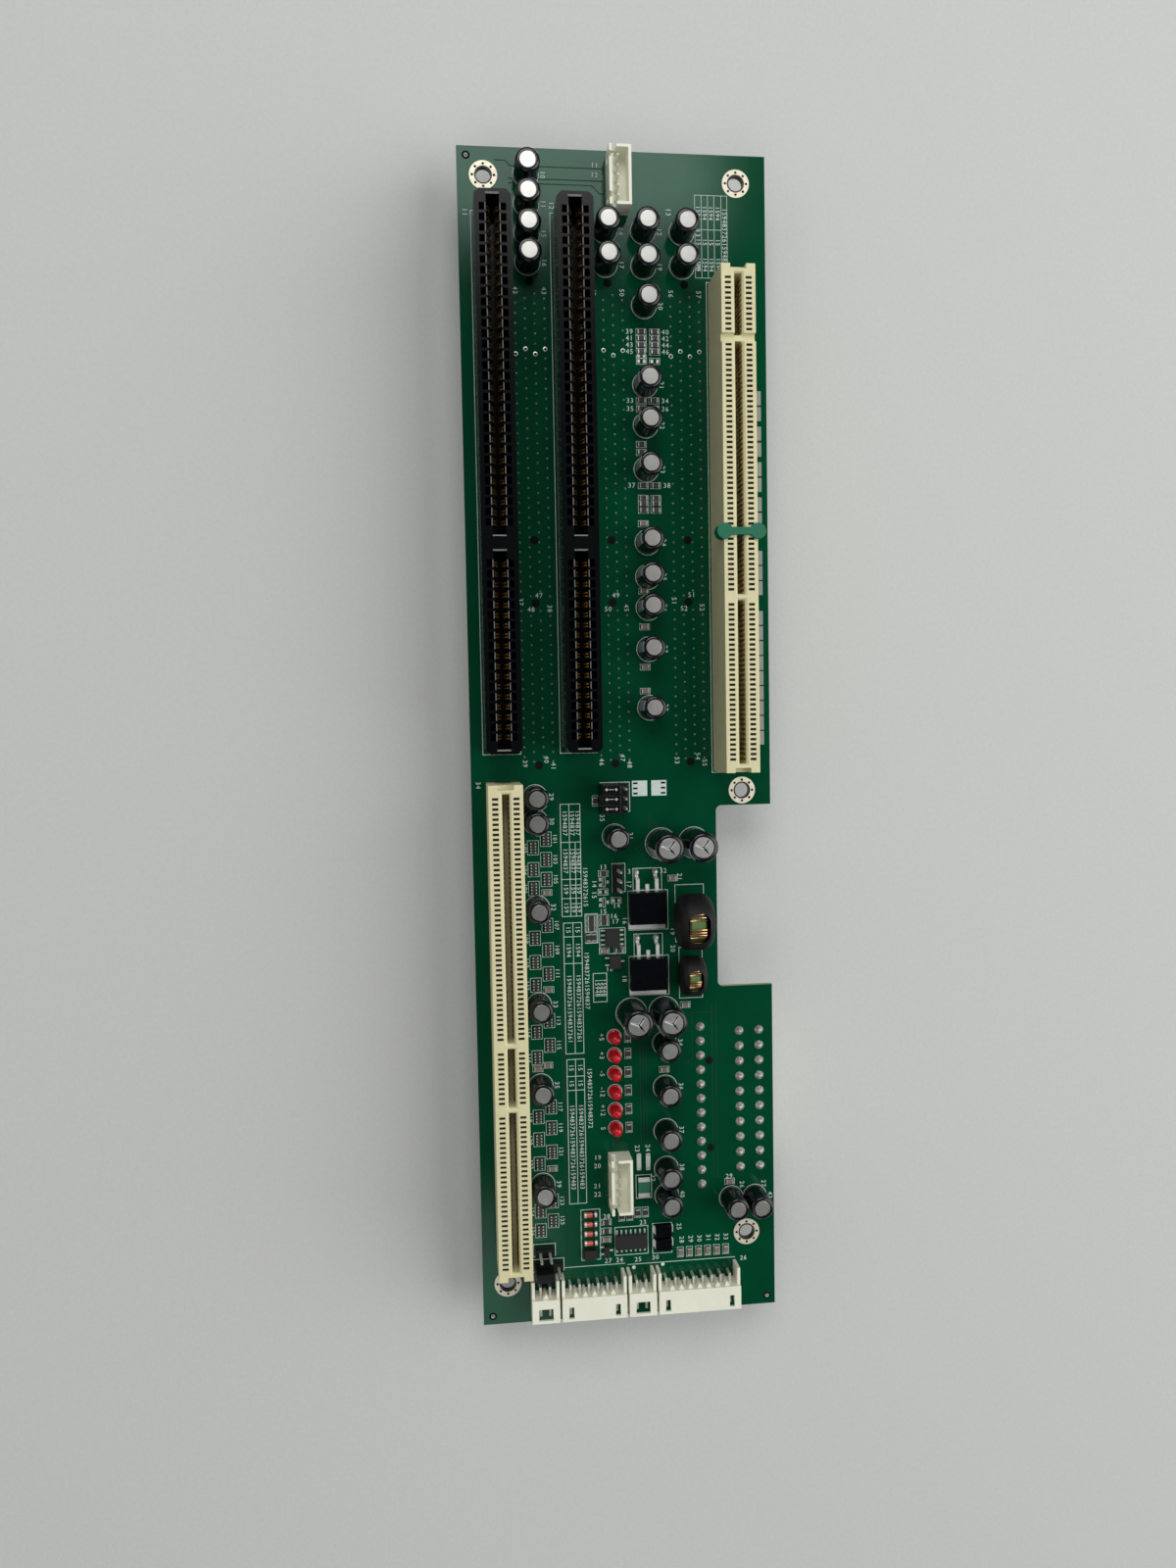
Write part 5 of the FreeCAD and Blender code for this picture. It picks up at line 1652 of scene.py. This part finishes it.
class BACKPLANE_OT_print(bpy.types.Operator):
    """Print the white outlines, rings, tables and plain numbers"""

    bl_idname = "backplane.print"
    bl_label = "Print"

    SLOT_MARGIN = 0.5
    TOP_TABLE = (61.5, 10.3, 70.2, 31.5)
    TABLES = (
        (23.2, 168.5, 28.6, 198.6, (25.6, 27.1), (178.7, 188.6, 193.7)),
        (23.5, 200.2, 28.5, 235.7, (26.1,), (204.0, 211.2)),
        (23.7, 237.1, 28.5, 276.8, (26.1,), (241.8, 245.6)),
    )
    PART_BOXES = (
        (34.0, 163.0, 42.0, 171.0), (36.75, 184.7, 40.4, 192.5), (42.4, 186.2, 50.3, 192.2),
        (41.1, 192.2, 51.9, 203.0), (42.4, 203.9, 50.3, 209.9), (41.1, 209.9, 51.9, 220.7),
        (53.75, 191.0, 61.7, 206.6), (54.6, 208.0, 61.1, 222.0), (33.1, 202.0, 40.2, 209.1),
        (29.3, 198.0, 32.8, 206.0), (31.2, 214.1, 35.0, 222.0), (35.9, 284.0, 45.1, 291.9),
        (26.7, 278.5, 32.0, 292.6), (41.9, 269.9, 46.3, 276.5), (46.2, 283.6, 51.7, 292.1),
    )
    TOP_COLUMNS = (63.3, 65.0, 66.7, 68.6)
    TOP_ROW = 19.1
    TOP_TEXT_COLUMNS = (62.4, 64.1, 65.8, 67.6)
    TOP_TEXT_ROWS = ((12.2, 17.5), (21.0, 23.5), (25.5, 30.5))
    LABEL_HIGH = 1.8
    ARRAY_LABEL_HIGH = 1.6
    LAMP_LABELS = ("+5", "+3", "-5", "-12", "+12", "5")
    # Half width and half length of the box round an array, a chip, three bare pads and an upright chip
    ARRAY_BOX = (1.5, 1.95)
    CHIP_BOX = (1.4, 0.85)
    THREE_BOX = (0.4, 1.3)
    UPRIGHT_BOX = (0.9, 1.45)
    # How far a label stands to the right of a can, of an array right or left of a line, and of a lamp
    CAN_LABEL_OUT = 4.3
    ARRAY_LINE = 17.5
    ARRAY_LABEL_OUT = (2.4, -2.3)
    LAMP_LABEL_OUT = -3.4
    # Place down the back and height of a slot's number and of its first pin's number
    BACK_SLOT_LABEL = (28.5, 2.4)
    BACK_PIN_LABEL = (31.0, 1.4)
    BACK_PIN_OUT = 3.0
    # Gap between the printed circle and a small can, a large can and a lamp
    RING_MARGINS = (0.25, 0.3, 0.62)
    # Left and top edge of each square, and how far in its dark marks lie
    LEGEND_SQUARES = ((42.6, 162.8, 0.9), (47.8, 162.8, 3.2))
    LEGEND_SIDE = 4.1
    HEADER_LINES = ((21.5, 38.5, 294.2), (39.4, 69.1, 294.6))
    FIRST_PIN_DOTS = ((41.0, 295.5), (49.0, 295.2))
    LABELS_ACROSS = (
        (35.4, 3.8), (35.3, 6.2), (34.5, 185.7), (37.9, 196.2), (34.3, 197.6), (37.1, 198.9),
        (37.5, 200.4), (35.7, 213.2), (31.6, 264.5), (31.5, 266.8), (31.4, 272.3), (31.4, 274.6),
        (43.7, 283.2), (37.1, 293.2), (42.2, 293.4), (71.5, 295.1), (34.0, 293.2), (33.8, 280.9),
        (67.8, 271.9), (47.0, 293.2), (42.0, 187.1), (50.7, 187.2), (43.7, 63.3), (53.0, 63.3),
        (43.7, 65.4), (53.0, 65.4), (43.8, 85.2), (53.2, 85.2), (43.8, 45.6), (53.3, 45.6),
        (43.8, 47.3), (53.3, 47.3), (43.8, 49.0), (53.3, 49.0), (43.8, 50.7), (53.3, 50.7),
    )
    LABELS_DOWN = (
        (1.8, 16.5), (24.0, 14.2), (54.5, 14.9), (32.0, 190.0), (31.9, 193.0), (40.0, 200.2),
        (41.3, 190.4), (39.7, 215.9), (53.0, 203.6), (53.0, 208.3), (55.1, 188.9), (46.6, 271.0),
        (42.4, 262.6), (45.3, 262.6), (53.6, 285.0), (71.3, 274.4), (77.4, 274.5), (54.3, 288.7),
        (56.8, 288.7), (59.2, 288.7), (61.7, 288.7), (64.2, 288.7), (66.6, 288.7), (1.8, 163.0),
        (34.4, 172.5), (32.4, 168.0),
    )
    TITLES = ((29.6, 184.0, 197.5), (29.6, 206.0, 226.0), (29.8, 237.5, 258.5), (32.3, 214.6, 221.6),
              (33.2, 214.6, 221.6), (34.1, 214.6, 221.6), (69.4, 11.0, 30.5))
    # Labels by the pegs of the rear slots: row of the peg, offset across and down
    PEG_LABELS_ACROSS = ((115.7, 0.9, -1.9), (115.7, -1.2, 1.7))
    PEG_LABELS_DOWN = ((115.7, -3.9, -0.4), (115.7, 3.6, 1.4), (158.1, -3.7, -0.5), (158.1, 1.95, -1.5),
                       (158.1, 3.8, 0.3), (33.3, -3.7, 2.4), (33.3, 3.7, 2.4))

    def execute(self, context):
        self.marks = []
        self.outlines()
        self.rings()
        self.tables()
        self.numbers()
        hand_over(paint(joined(self.marks, "print"), ink), "front_print", "laminate")
        self.back_print()
        return {"FINISHED"}

    def frame(self, left, top, right, bottom, back=False, fine=False):
        """A printed rectangle."""
        s = sizes()
        level = BACK if back else FRONT
        rise = -s.print_high if back else s.print_high
        low, high = at(left, bottom), at(right, top)
        bpy.ops.mesh.primitive_plane_add(size=1.0, location=(*middle((low, high)).xy, level))
        piece = bpy.context.object
        piece.scale = (high.x - low.x, high.y - low.y, 1.0)
        settle(piece)
        with editing(piece):
            everything()
            bpy.ops.mesh.inset(thickness=s.fine_line if fine else s.print_line)
            bpy.ops.mesh.delete(type="FACE")
            everything()
            bpy.ops.mesh.extrude_region_move(TRANSFORM_OT_translate={"value": (0, 0, rise)})
            everything()
            bpy.ops.mesh.normals_make_consistent(inside=False)
        self.marks.append(piece)

    def line(self, left, top, right, bottom, fine=False):
        """A printed line along one axis of the board."""
        s = sizes()
        half = (s.fine_line if fine else s.print_line) / 2
        low, high = at(min(left, right), max(top, bottom)), at(max(left, right), min(top, bottom))
        corner = (high.x + half, high.y + half, high.z + s.print_high)
        self.marks.append(block((low.x - half, low.y - half, FRONT), corner))

    def around(self, node, margin, back=False):
        low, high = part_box(node)
        left, bottom = on_board(low)
        right, top = on_board(high)
        self.frame(left - margin, top - margin, right + margin, bottom + margin, back)

    def boxed(self, spots, wide, long):
        """A fine box round each place, given by its half width and half length."""
        for across, down in spots:
            self.frame(across - wide, down - long, across + wide, down + long, fine=True)

    def outlines(self):
        for node in (*ISA_SLOTS, "front_pci_slot", "power_jumper_block_1", "power_jumper_block_2"):
            self.around(node, self.SLOT_MARGIN)
        self.boxed([on_board(middle(box)) for box in solids("resistor_arrays")], *self.ARRAY_BOX)
        for corners in self.PART_BOXES:
            self.frame(*corners)
        chips = BACKPLANE_OT_arrays_and_chips
        level = [*chips.CAPACITOR_CHIPS, *chips.RESISTOR_CHIPS, *chips.BARE_PLACES, *chips.upper_block()]
        self.boxed(level, *self.CHIP_BOX)
        self.boxed(chips.BARE_THREES, *self.THREE_BOX)
        self.boxed([*chips.UPRIGHT_CHIPS, *chips.bottom_row()], *self.UPRIGHT_BOX)

    def rings(self):
        """A circle round each can and each lamp."""
        s = sizes()
        high = s.print_high / MM
        line = s.print_line / MM
        for box, margin in round_parts(*self.RING_MARGINS):
            radius = (box[1].x - box[0].x) / 2 / MM + margin
            ring = turned([(radius - line, 0), (radius, 0), (radius, high), (radius - line, high),
                           (radius - line, 0)], 32)
            self.marks.append(copies(ring, "ring", [Vector((*middle(box).xy, FRONT))]))

    def tables(self):
        left, top, right, bottom = self.TOP_TABLE
        self.frame(*self.TOP_TABLE, fine=True)
        for across in self.TOP_COLUMNS:
            self.line(across, top, across, bottom, True)
        self.line(left, self.TOP_ROW, self.TOP_COLUMNS[-1], self.TOP_ROW, True)
        for left, top, right, bottom, columns, rows in self.TABLES:
            self.frame(left, top, right, bottom)
            for across in columns:
                self.line(across, rows[0] if across > columns[0] else top, across, bottom)
            for down in rows:
                self.line(left, down, right, down)
        for left, right, down in self.HEADER_LINES:
            self.line(left, down, right, down)
        dot = turned([(0, 0), (0.5, 0), (0.5, 0.03), (0, 0.03)], 16)
        self.marks.append(copies(dot, "dots", [at(*spot) for spot in self.FIRST_PIN_DOTS]))
        self.legend()

    def legend(self):
        """Two filled squares, each with the three places of one jumper setting left dark."""
        side = self.LEGEND_SIDE
        places = []
        for left, top, column in self.LEGEND_SQUARES:
            self.marks.append(block(at(left, top + side), at(left + side, top, 0.03)))
            places += [at(left + column, top + side * (row + 0.5) / 3) for row in range(3)]
        mark = block((-0.6 * MM, -0.25 * MM, 0.0), (0.6 * MM, 0.25 * MM, 0.04 * MM))
        set_out(mark, shadow_gap, places, "legend_marks", "laminate")

    def number(self, text, across, down, size=1.5, angle=-QUARTER_TURN, back=False):
        """A plain number, made a mesh before it is placed."""
        bpy.ops.object.text_add()
        words = bpy.context.object
        words.data.body = str(text)
        words.data.size = size * MM
        words.data.align_x = "CENTER"
        words.data.align_y = "CENTER"
        words.data.resolution_u = 2
        words.data.space_character = 1.15
        words.data.extrude = sizes().print_high / 2
        bpy.ops.object.convert(target="MESH")
        words = bpy.context.object
        spot = at(across, down)
        place = Matrix.Translation(spot)
        if back:
            place = Matrix.Translation((*spot.xy, BACK)) @ turn(HALF_TURN, "Y")
        words.matrix_world = place @ turn(angle)
        self.marks.append(settle(words))

    def run(self, across, top, bottom, size=1.7):
        """A column of plain digits that reads down the board."""
        count = max(1, int((bottom - top) / (size * 0.72)))
        digits = "".join(str(1 + digit * 4 % 9) for digit in range(count))
        self.number(digits, across, (top + bottom) / 2, size)

    def numbers(self):
        for index, box in enumerate(solids("small_capacitors"), start=10):
            across, down = on_board(middle(box))
            self.number(index, across + self.CAN_LABEL_OUT, down, self.LABEL_HIGH)
        for index, box in enumerate(solids("resistor_arrays"), start=101):
            across, down = on_board(middle(box))
            side = self.ARRAY_LABEL_OUT[0 if across > self.ARRAY_LINE else 1]
            self.number(index, across + side, down, self.ARRAY_LABEL_HIGH)
        for node, label in zip(LAMPS, self.LAMP_LABELS):
            across, down = on_board(middle(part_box(node)))
            self.number(label, across + self.LAMP_LABEL_OUT, down, self.LABEL_HIGH)
        pegs = [on_board(middle(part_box(node)))[0] for node in REAR_SLOTS]
        level = self.LABELS_ACROSS + tuple((line + across, row + down) for line in pegs
                                           for row, across, down in self.PEG_LABELS_ACROSS)
        upright = self.LABELS_DOWN + tuple((line + across, row + down) for line in pegs
                                           for row, across, down in self.PEG_LABELS_DOWN)
        for spots, angle in ((level, 0.0), (upright, -QUARTER_TURN)):
            for index, spot in enumerate(spots, start=11):
                self.number(index, *spot, self.LABEL_HIGH, angle)
        for left, top, right, bottom, columns, rows in self.TABLES:
            edges = (left, *columns, right)
            stops = (top, *rows, bottom)
            for start, end in zip(edges, edges[1:]):
                for high, low in zip(stops, stops[1:]):
                    self.run((start + end) / 2, high + 0.6, low - 0.6)
        for title in self.TITLES:
            self.run(*title)
        for across in self.TOP_TEXT_COLUMNS:
            for top, bottom in self.TOP_TEXT_ROWS:
                self.run(across, top, bottom, self.ARRAY_LABEL_HIGH)

    def back_print(self):
        self.marks = []
        for node in REAR_SLOTS + ("power_socket", "power_header"):
            self.around(node, self.SLOT_MARGIN, True)
        for index, node in enumerate(REAR_SLOTS, start=1):
            across, _ = on_board(middle(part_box(node)))
            self.number(index, across, *self.BACK_SLOT_LABEL, 0.0, True)
            self.number(1, across - self.BACK_PIN_OUT, *self.BACK_PIN_LABEL, 0.0, True)
        hand_over(paint(joined(self.marks, "back"), ink), "back_print", "laminate")


# Copper tracks

class BACKPLANE_OT_tracks(bpy.types.Operator):
    """Lay the copper tracks that show through the lacquer"""

    bl_idname = "backplane.tracks"
    bl_label = "Tracks"

    FLATNESS = 0.12
    # Each bundle: the first track's route, how many run side by side, and the step between them
    BUNDLES = (
        (((9.6, 3.3), (12.4, 3.3), (13.6, 4.6), (38.0, 4.6)), 1, (0, 0)),
        (((13.0, 7.7), (37.8, 7.7)), 1, (0, 0)),
        (((13.0, 8.9), (34.6, 8.9), (36.6, 10.9), (38.0, 10.9)), 1, (0, 0)),
        (((43.0, 181.5), (47.0, 177.5), (47.0, 172.0)), 6, (0.75, 0.75)),
        (((40.4, 224.5), (43.6, 227.7), (43.6, 262.0)), 3, (0.8, 0.3)),
        (((56.5, 240.0), (58.0, 238.5), (58.0, 226.0), (64.0, 226.0)), 1, (0, 0)),
        (((63.4, 224.0), (63.4, 272.0), (68.0, 272.0)), 2, (1.2, 0.0)),
        (((33.2, 252.0), (36.0, 254.8), (36.0, 262.0)), 3, (0.7, 0.0)),
        (((22.6, 166.0), (22.6, 292.0)), 2, (0.6, 0.0)),
    )

    def execute(self, context):
        tracks = []
        for route, count, (right, down) in self.BUNDLES:
            for index in range(count):
                tracks.append(self.track([(x + right * index, y + down * index) for x, y in route]))
        hand_over(paint(joined(tracks, "tracks"), track_mask), "copper_tracks", "laminate")
        return {"FINISHED"}

    def track(self, route):
        """A flat ribbon along the route, with mitred corners."""
        piece = wire([at(*spot).xy for spot in route], sizes().track_wide / 2)
        piece.scale.z = self.FLATNESS
        piece.location.z = FRONT
        return settle(piece)


# Stage

class BACKPLANE_OT_stage(bpy.types.Operator):
    """Lay the pale floor and set the soft light and the camera"""

    bl_idname = "backplane.stage"
    bl_label = "Stage"

    CAMERA_PLACE = (-46.09, 8.68, 326.07)
    CAMERA_TURN = (-3.152, -6.834, -1.047)
    CAMERA_LENS = 27.045
    CAMERA_SENSOR = 36.0
    FLOOR_SIDE = 4.0
    FLOOR_EDGE = 0.4
    SKY = (0.95, 0.98, 1.0, 1.0)
    SKY_LIGHT = 0.06
    # Each softbox: its power, its two sides, its place and the point that it faces, in metres
    SOFTBOXES = {
        "far_softbox": (11.0, (0.91, 0.9), (-0.145, 1.06, 1.2), (-0.145, 1.06, 0.0)),
        "near_softbox": (4.2, (1.0, 1.0), (-0.42, -1.12, 1.2), (-0.42, -1.12, 0.0)),
        "right_softbox": (16.0, (1.2, 1.6), (1.1, 0.0, 0.9), (0.0, 0.0, 0.0)),
        "left_softbox": (2.5, (1.0, 1.2), (-1.2, 0.1, 0.7), (0.0, 0.0, 0.0)),
    }

    def execute(self, context):
        bpy.ops.mesh.primitive_plane_add(size=self.FLOOR_SIDE, location=(0, 0, CAD_BOX[0][2]))
        floor = bpy.context.object
        floor.name = "floor"
        with editing(floor):
            everything()
            bpy.ops.mesh.inset(thickness=self.FLOOR_EDGE)
        paint(floor, floor_cloth)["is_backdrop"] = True
        for name, softbox in self.SOFTBOXES.items():
            self.lamp(name, *softbox)
        self.sky(context)
        self.camera(context)
        context.scene.view_settings.view_transform = "Standard"
        return {"FINISHED"}

    def lamp(self, name, watts, size, place, target):
        bpy.ops.object.light_add(type="AREA", location=place)
        lamp = bpy.context.object
        lamp.name = name
        lamp.data.shape = "RECTANGLE"
        lamp.data.size, lamp.data.size_y = size
        lamp.data.energy = watts
        aim = Vector(target) - Vector(place)
        lamp.rotation_euler = aim.to_track_quat("-Z", "Y").to_euler()

    def sky(self, context):
        world = bpy.data.worlds.new("studio")
        context.scene.world = world
        world.use_nodes = True
        background = world.node_tree.nodes["Background"]
        background.inputs["Color"].default_value = self.SKY
        background.inputs["Strength"].default_value = self.SKY_LIGHT

    def camera(self, context):
        bpy.ops.object.camera_add()
        camera = bpy.context.object
        camera.location = [value * MM for value in self.CAMERA_PLACE]
        camera.rotation_euler = Euler([math.radians(value) for value in self.CAMERA_TURN])
        camera.data.lens = self.CAMERA_LENS
        camera.data.sensor_width = self.CAMERA_SENSOR
        camera.data.clip_start = 0.01
        context.scene.camera = camera


class BACKPLANE_PT_panel(bpy.types.Panel):
    """Lists the steps that dress the board"""

    bl_idname = "BACKPLANE_PT_panel"
    bl_label = "Backplane board"
    bl_space_type = "VIEW_3D"
    bl_region_type = "UI"
    bl_category = "Backplane"

    def draw(self, context):
        for step in STEPS:
            self.layout.operator(step.bl_idname, text=step.bl_label)
        for group in (context.scene.backplane_sizes, context.scene.backplane_colours):
            column = self.layout.column(align=True)
            for name in group.__annotations__:
                column.prop(group, name)


STEPS = (
    BACKPLANE_OT_board,
    BACKPLANE_OT_tracks,
    BACKPLANE_OT_print,
    BACKPLANE_OT_black_slots,
    BACKPLANE_OT_ivory_slots,
    BACKPLANE_OT_keying_clip,
    BACKPLANE_OT_capacitors,
    BACKPLANE_OT_wafer_headers,
    BACKPLANE_OT_jumpers,
    BACKPLANE_OT_lamps,
    BACKPLANE_OT_power_transistors,
    BACKPLANE_OT_chokes,
    BACKPLANE_OT_circuits,
    BACKPLANE_OT_diodes,
    BACKPLANE_OT_arrays_and_chips,
    BACKPLANE_OT_rear_power,
    BACKPLANE_OT_solder,
    BACKPLANE_OT_stage,
)
CLASSES = (BackplaneSizes, BackplaneColours, *STEPS, BACKPLANE_PT_panel)


def register():
    for made in CLASSES:
        bpy.utils.register_class(made)
    bpy.types.Scene.backplane_sizes = PointerProperty(type=BackplaneSizes)
    bpy.types.Scene.backplane_colours = PointerProperty(type=BackplaneColours)


def unregister():
    del bpy.types.Scene.backplane_colours
    del bpy.types.Scene.backplane_sizes
    for made in reversed(CLASSES):
        bpy.utils.unregister_class(made)


def main():
    register()
    for step in STEPS:
        family, name = step.bl_idname.split(".")
        getattr(getattr(bpy.ops, family), name)()


if __name__ == "__main__":
    main()
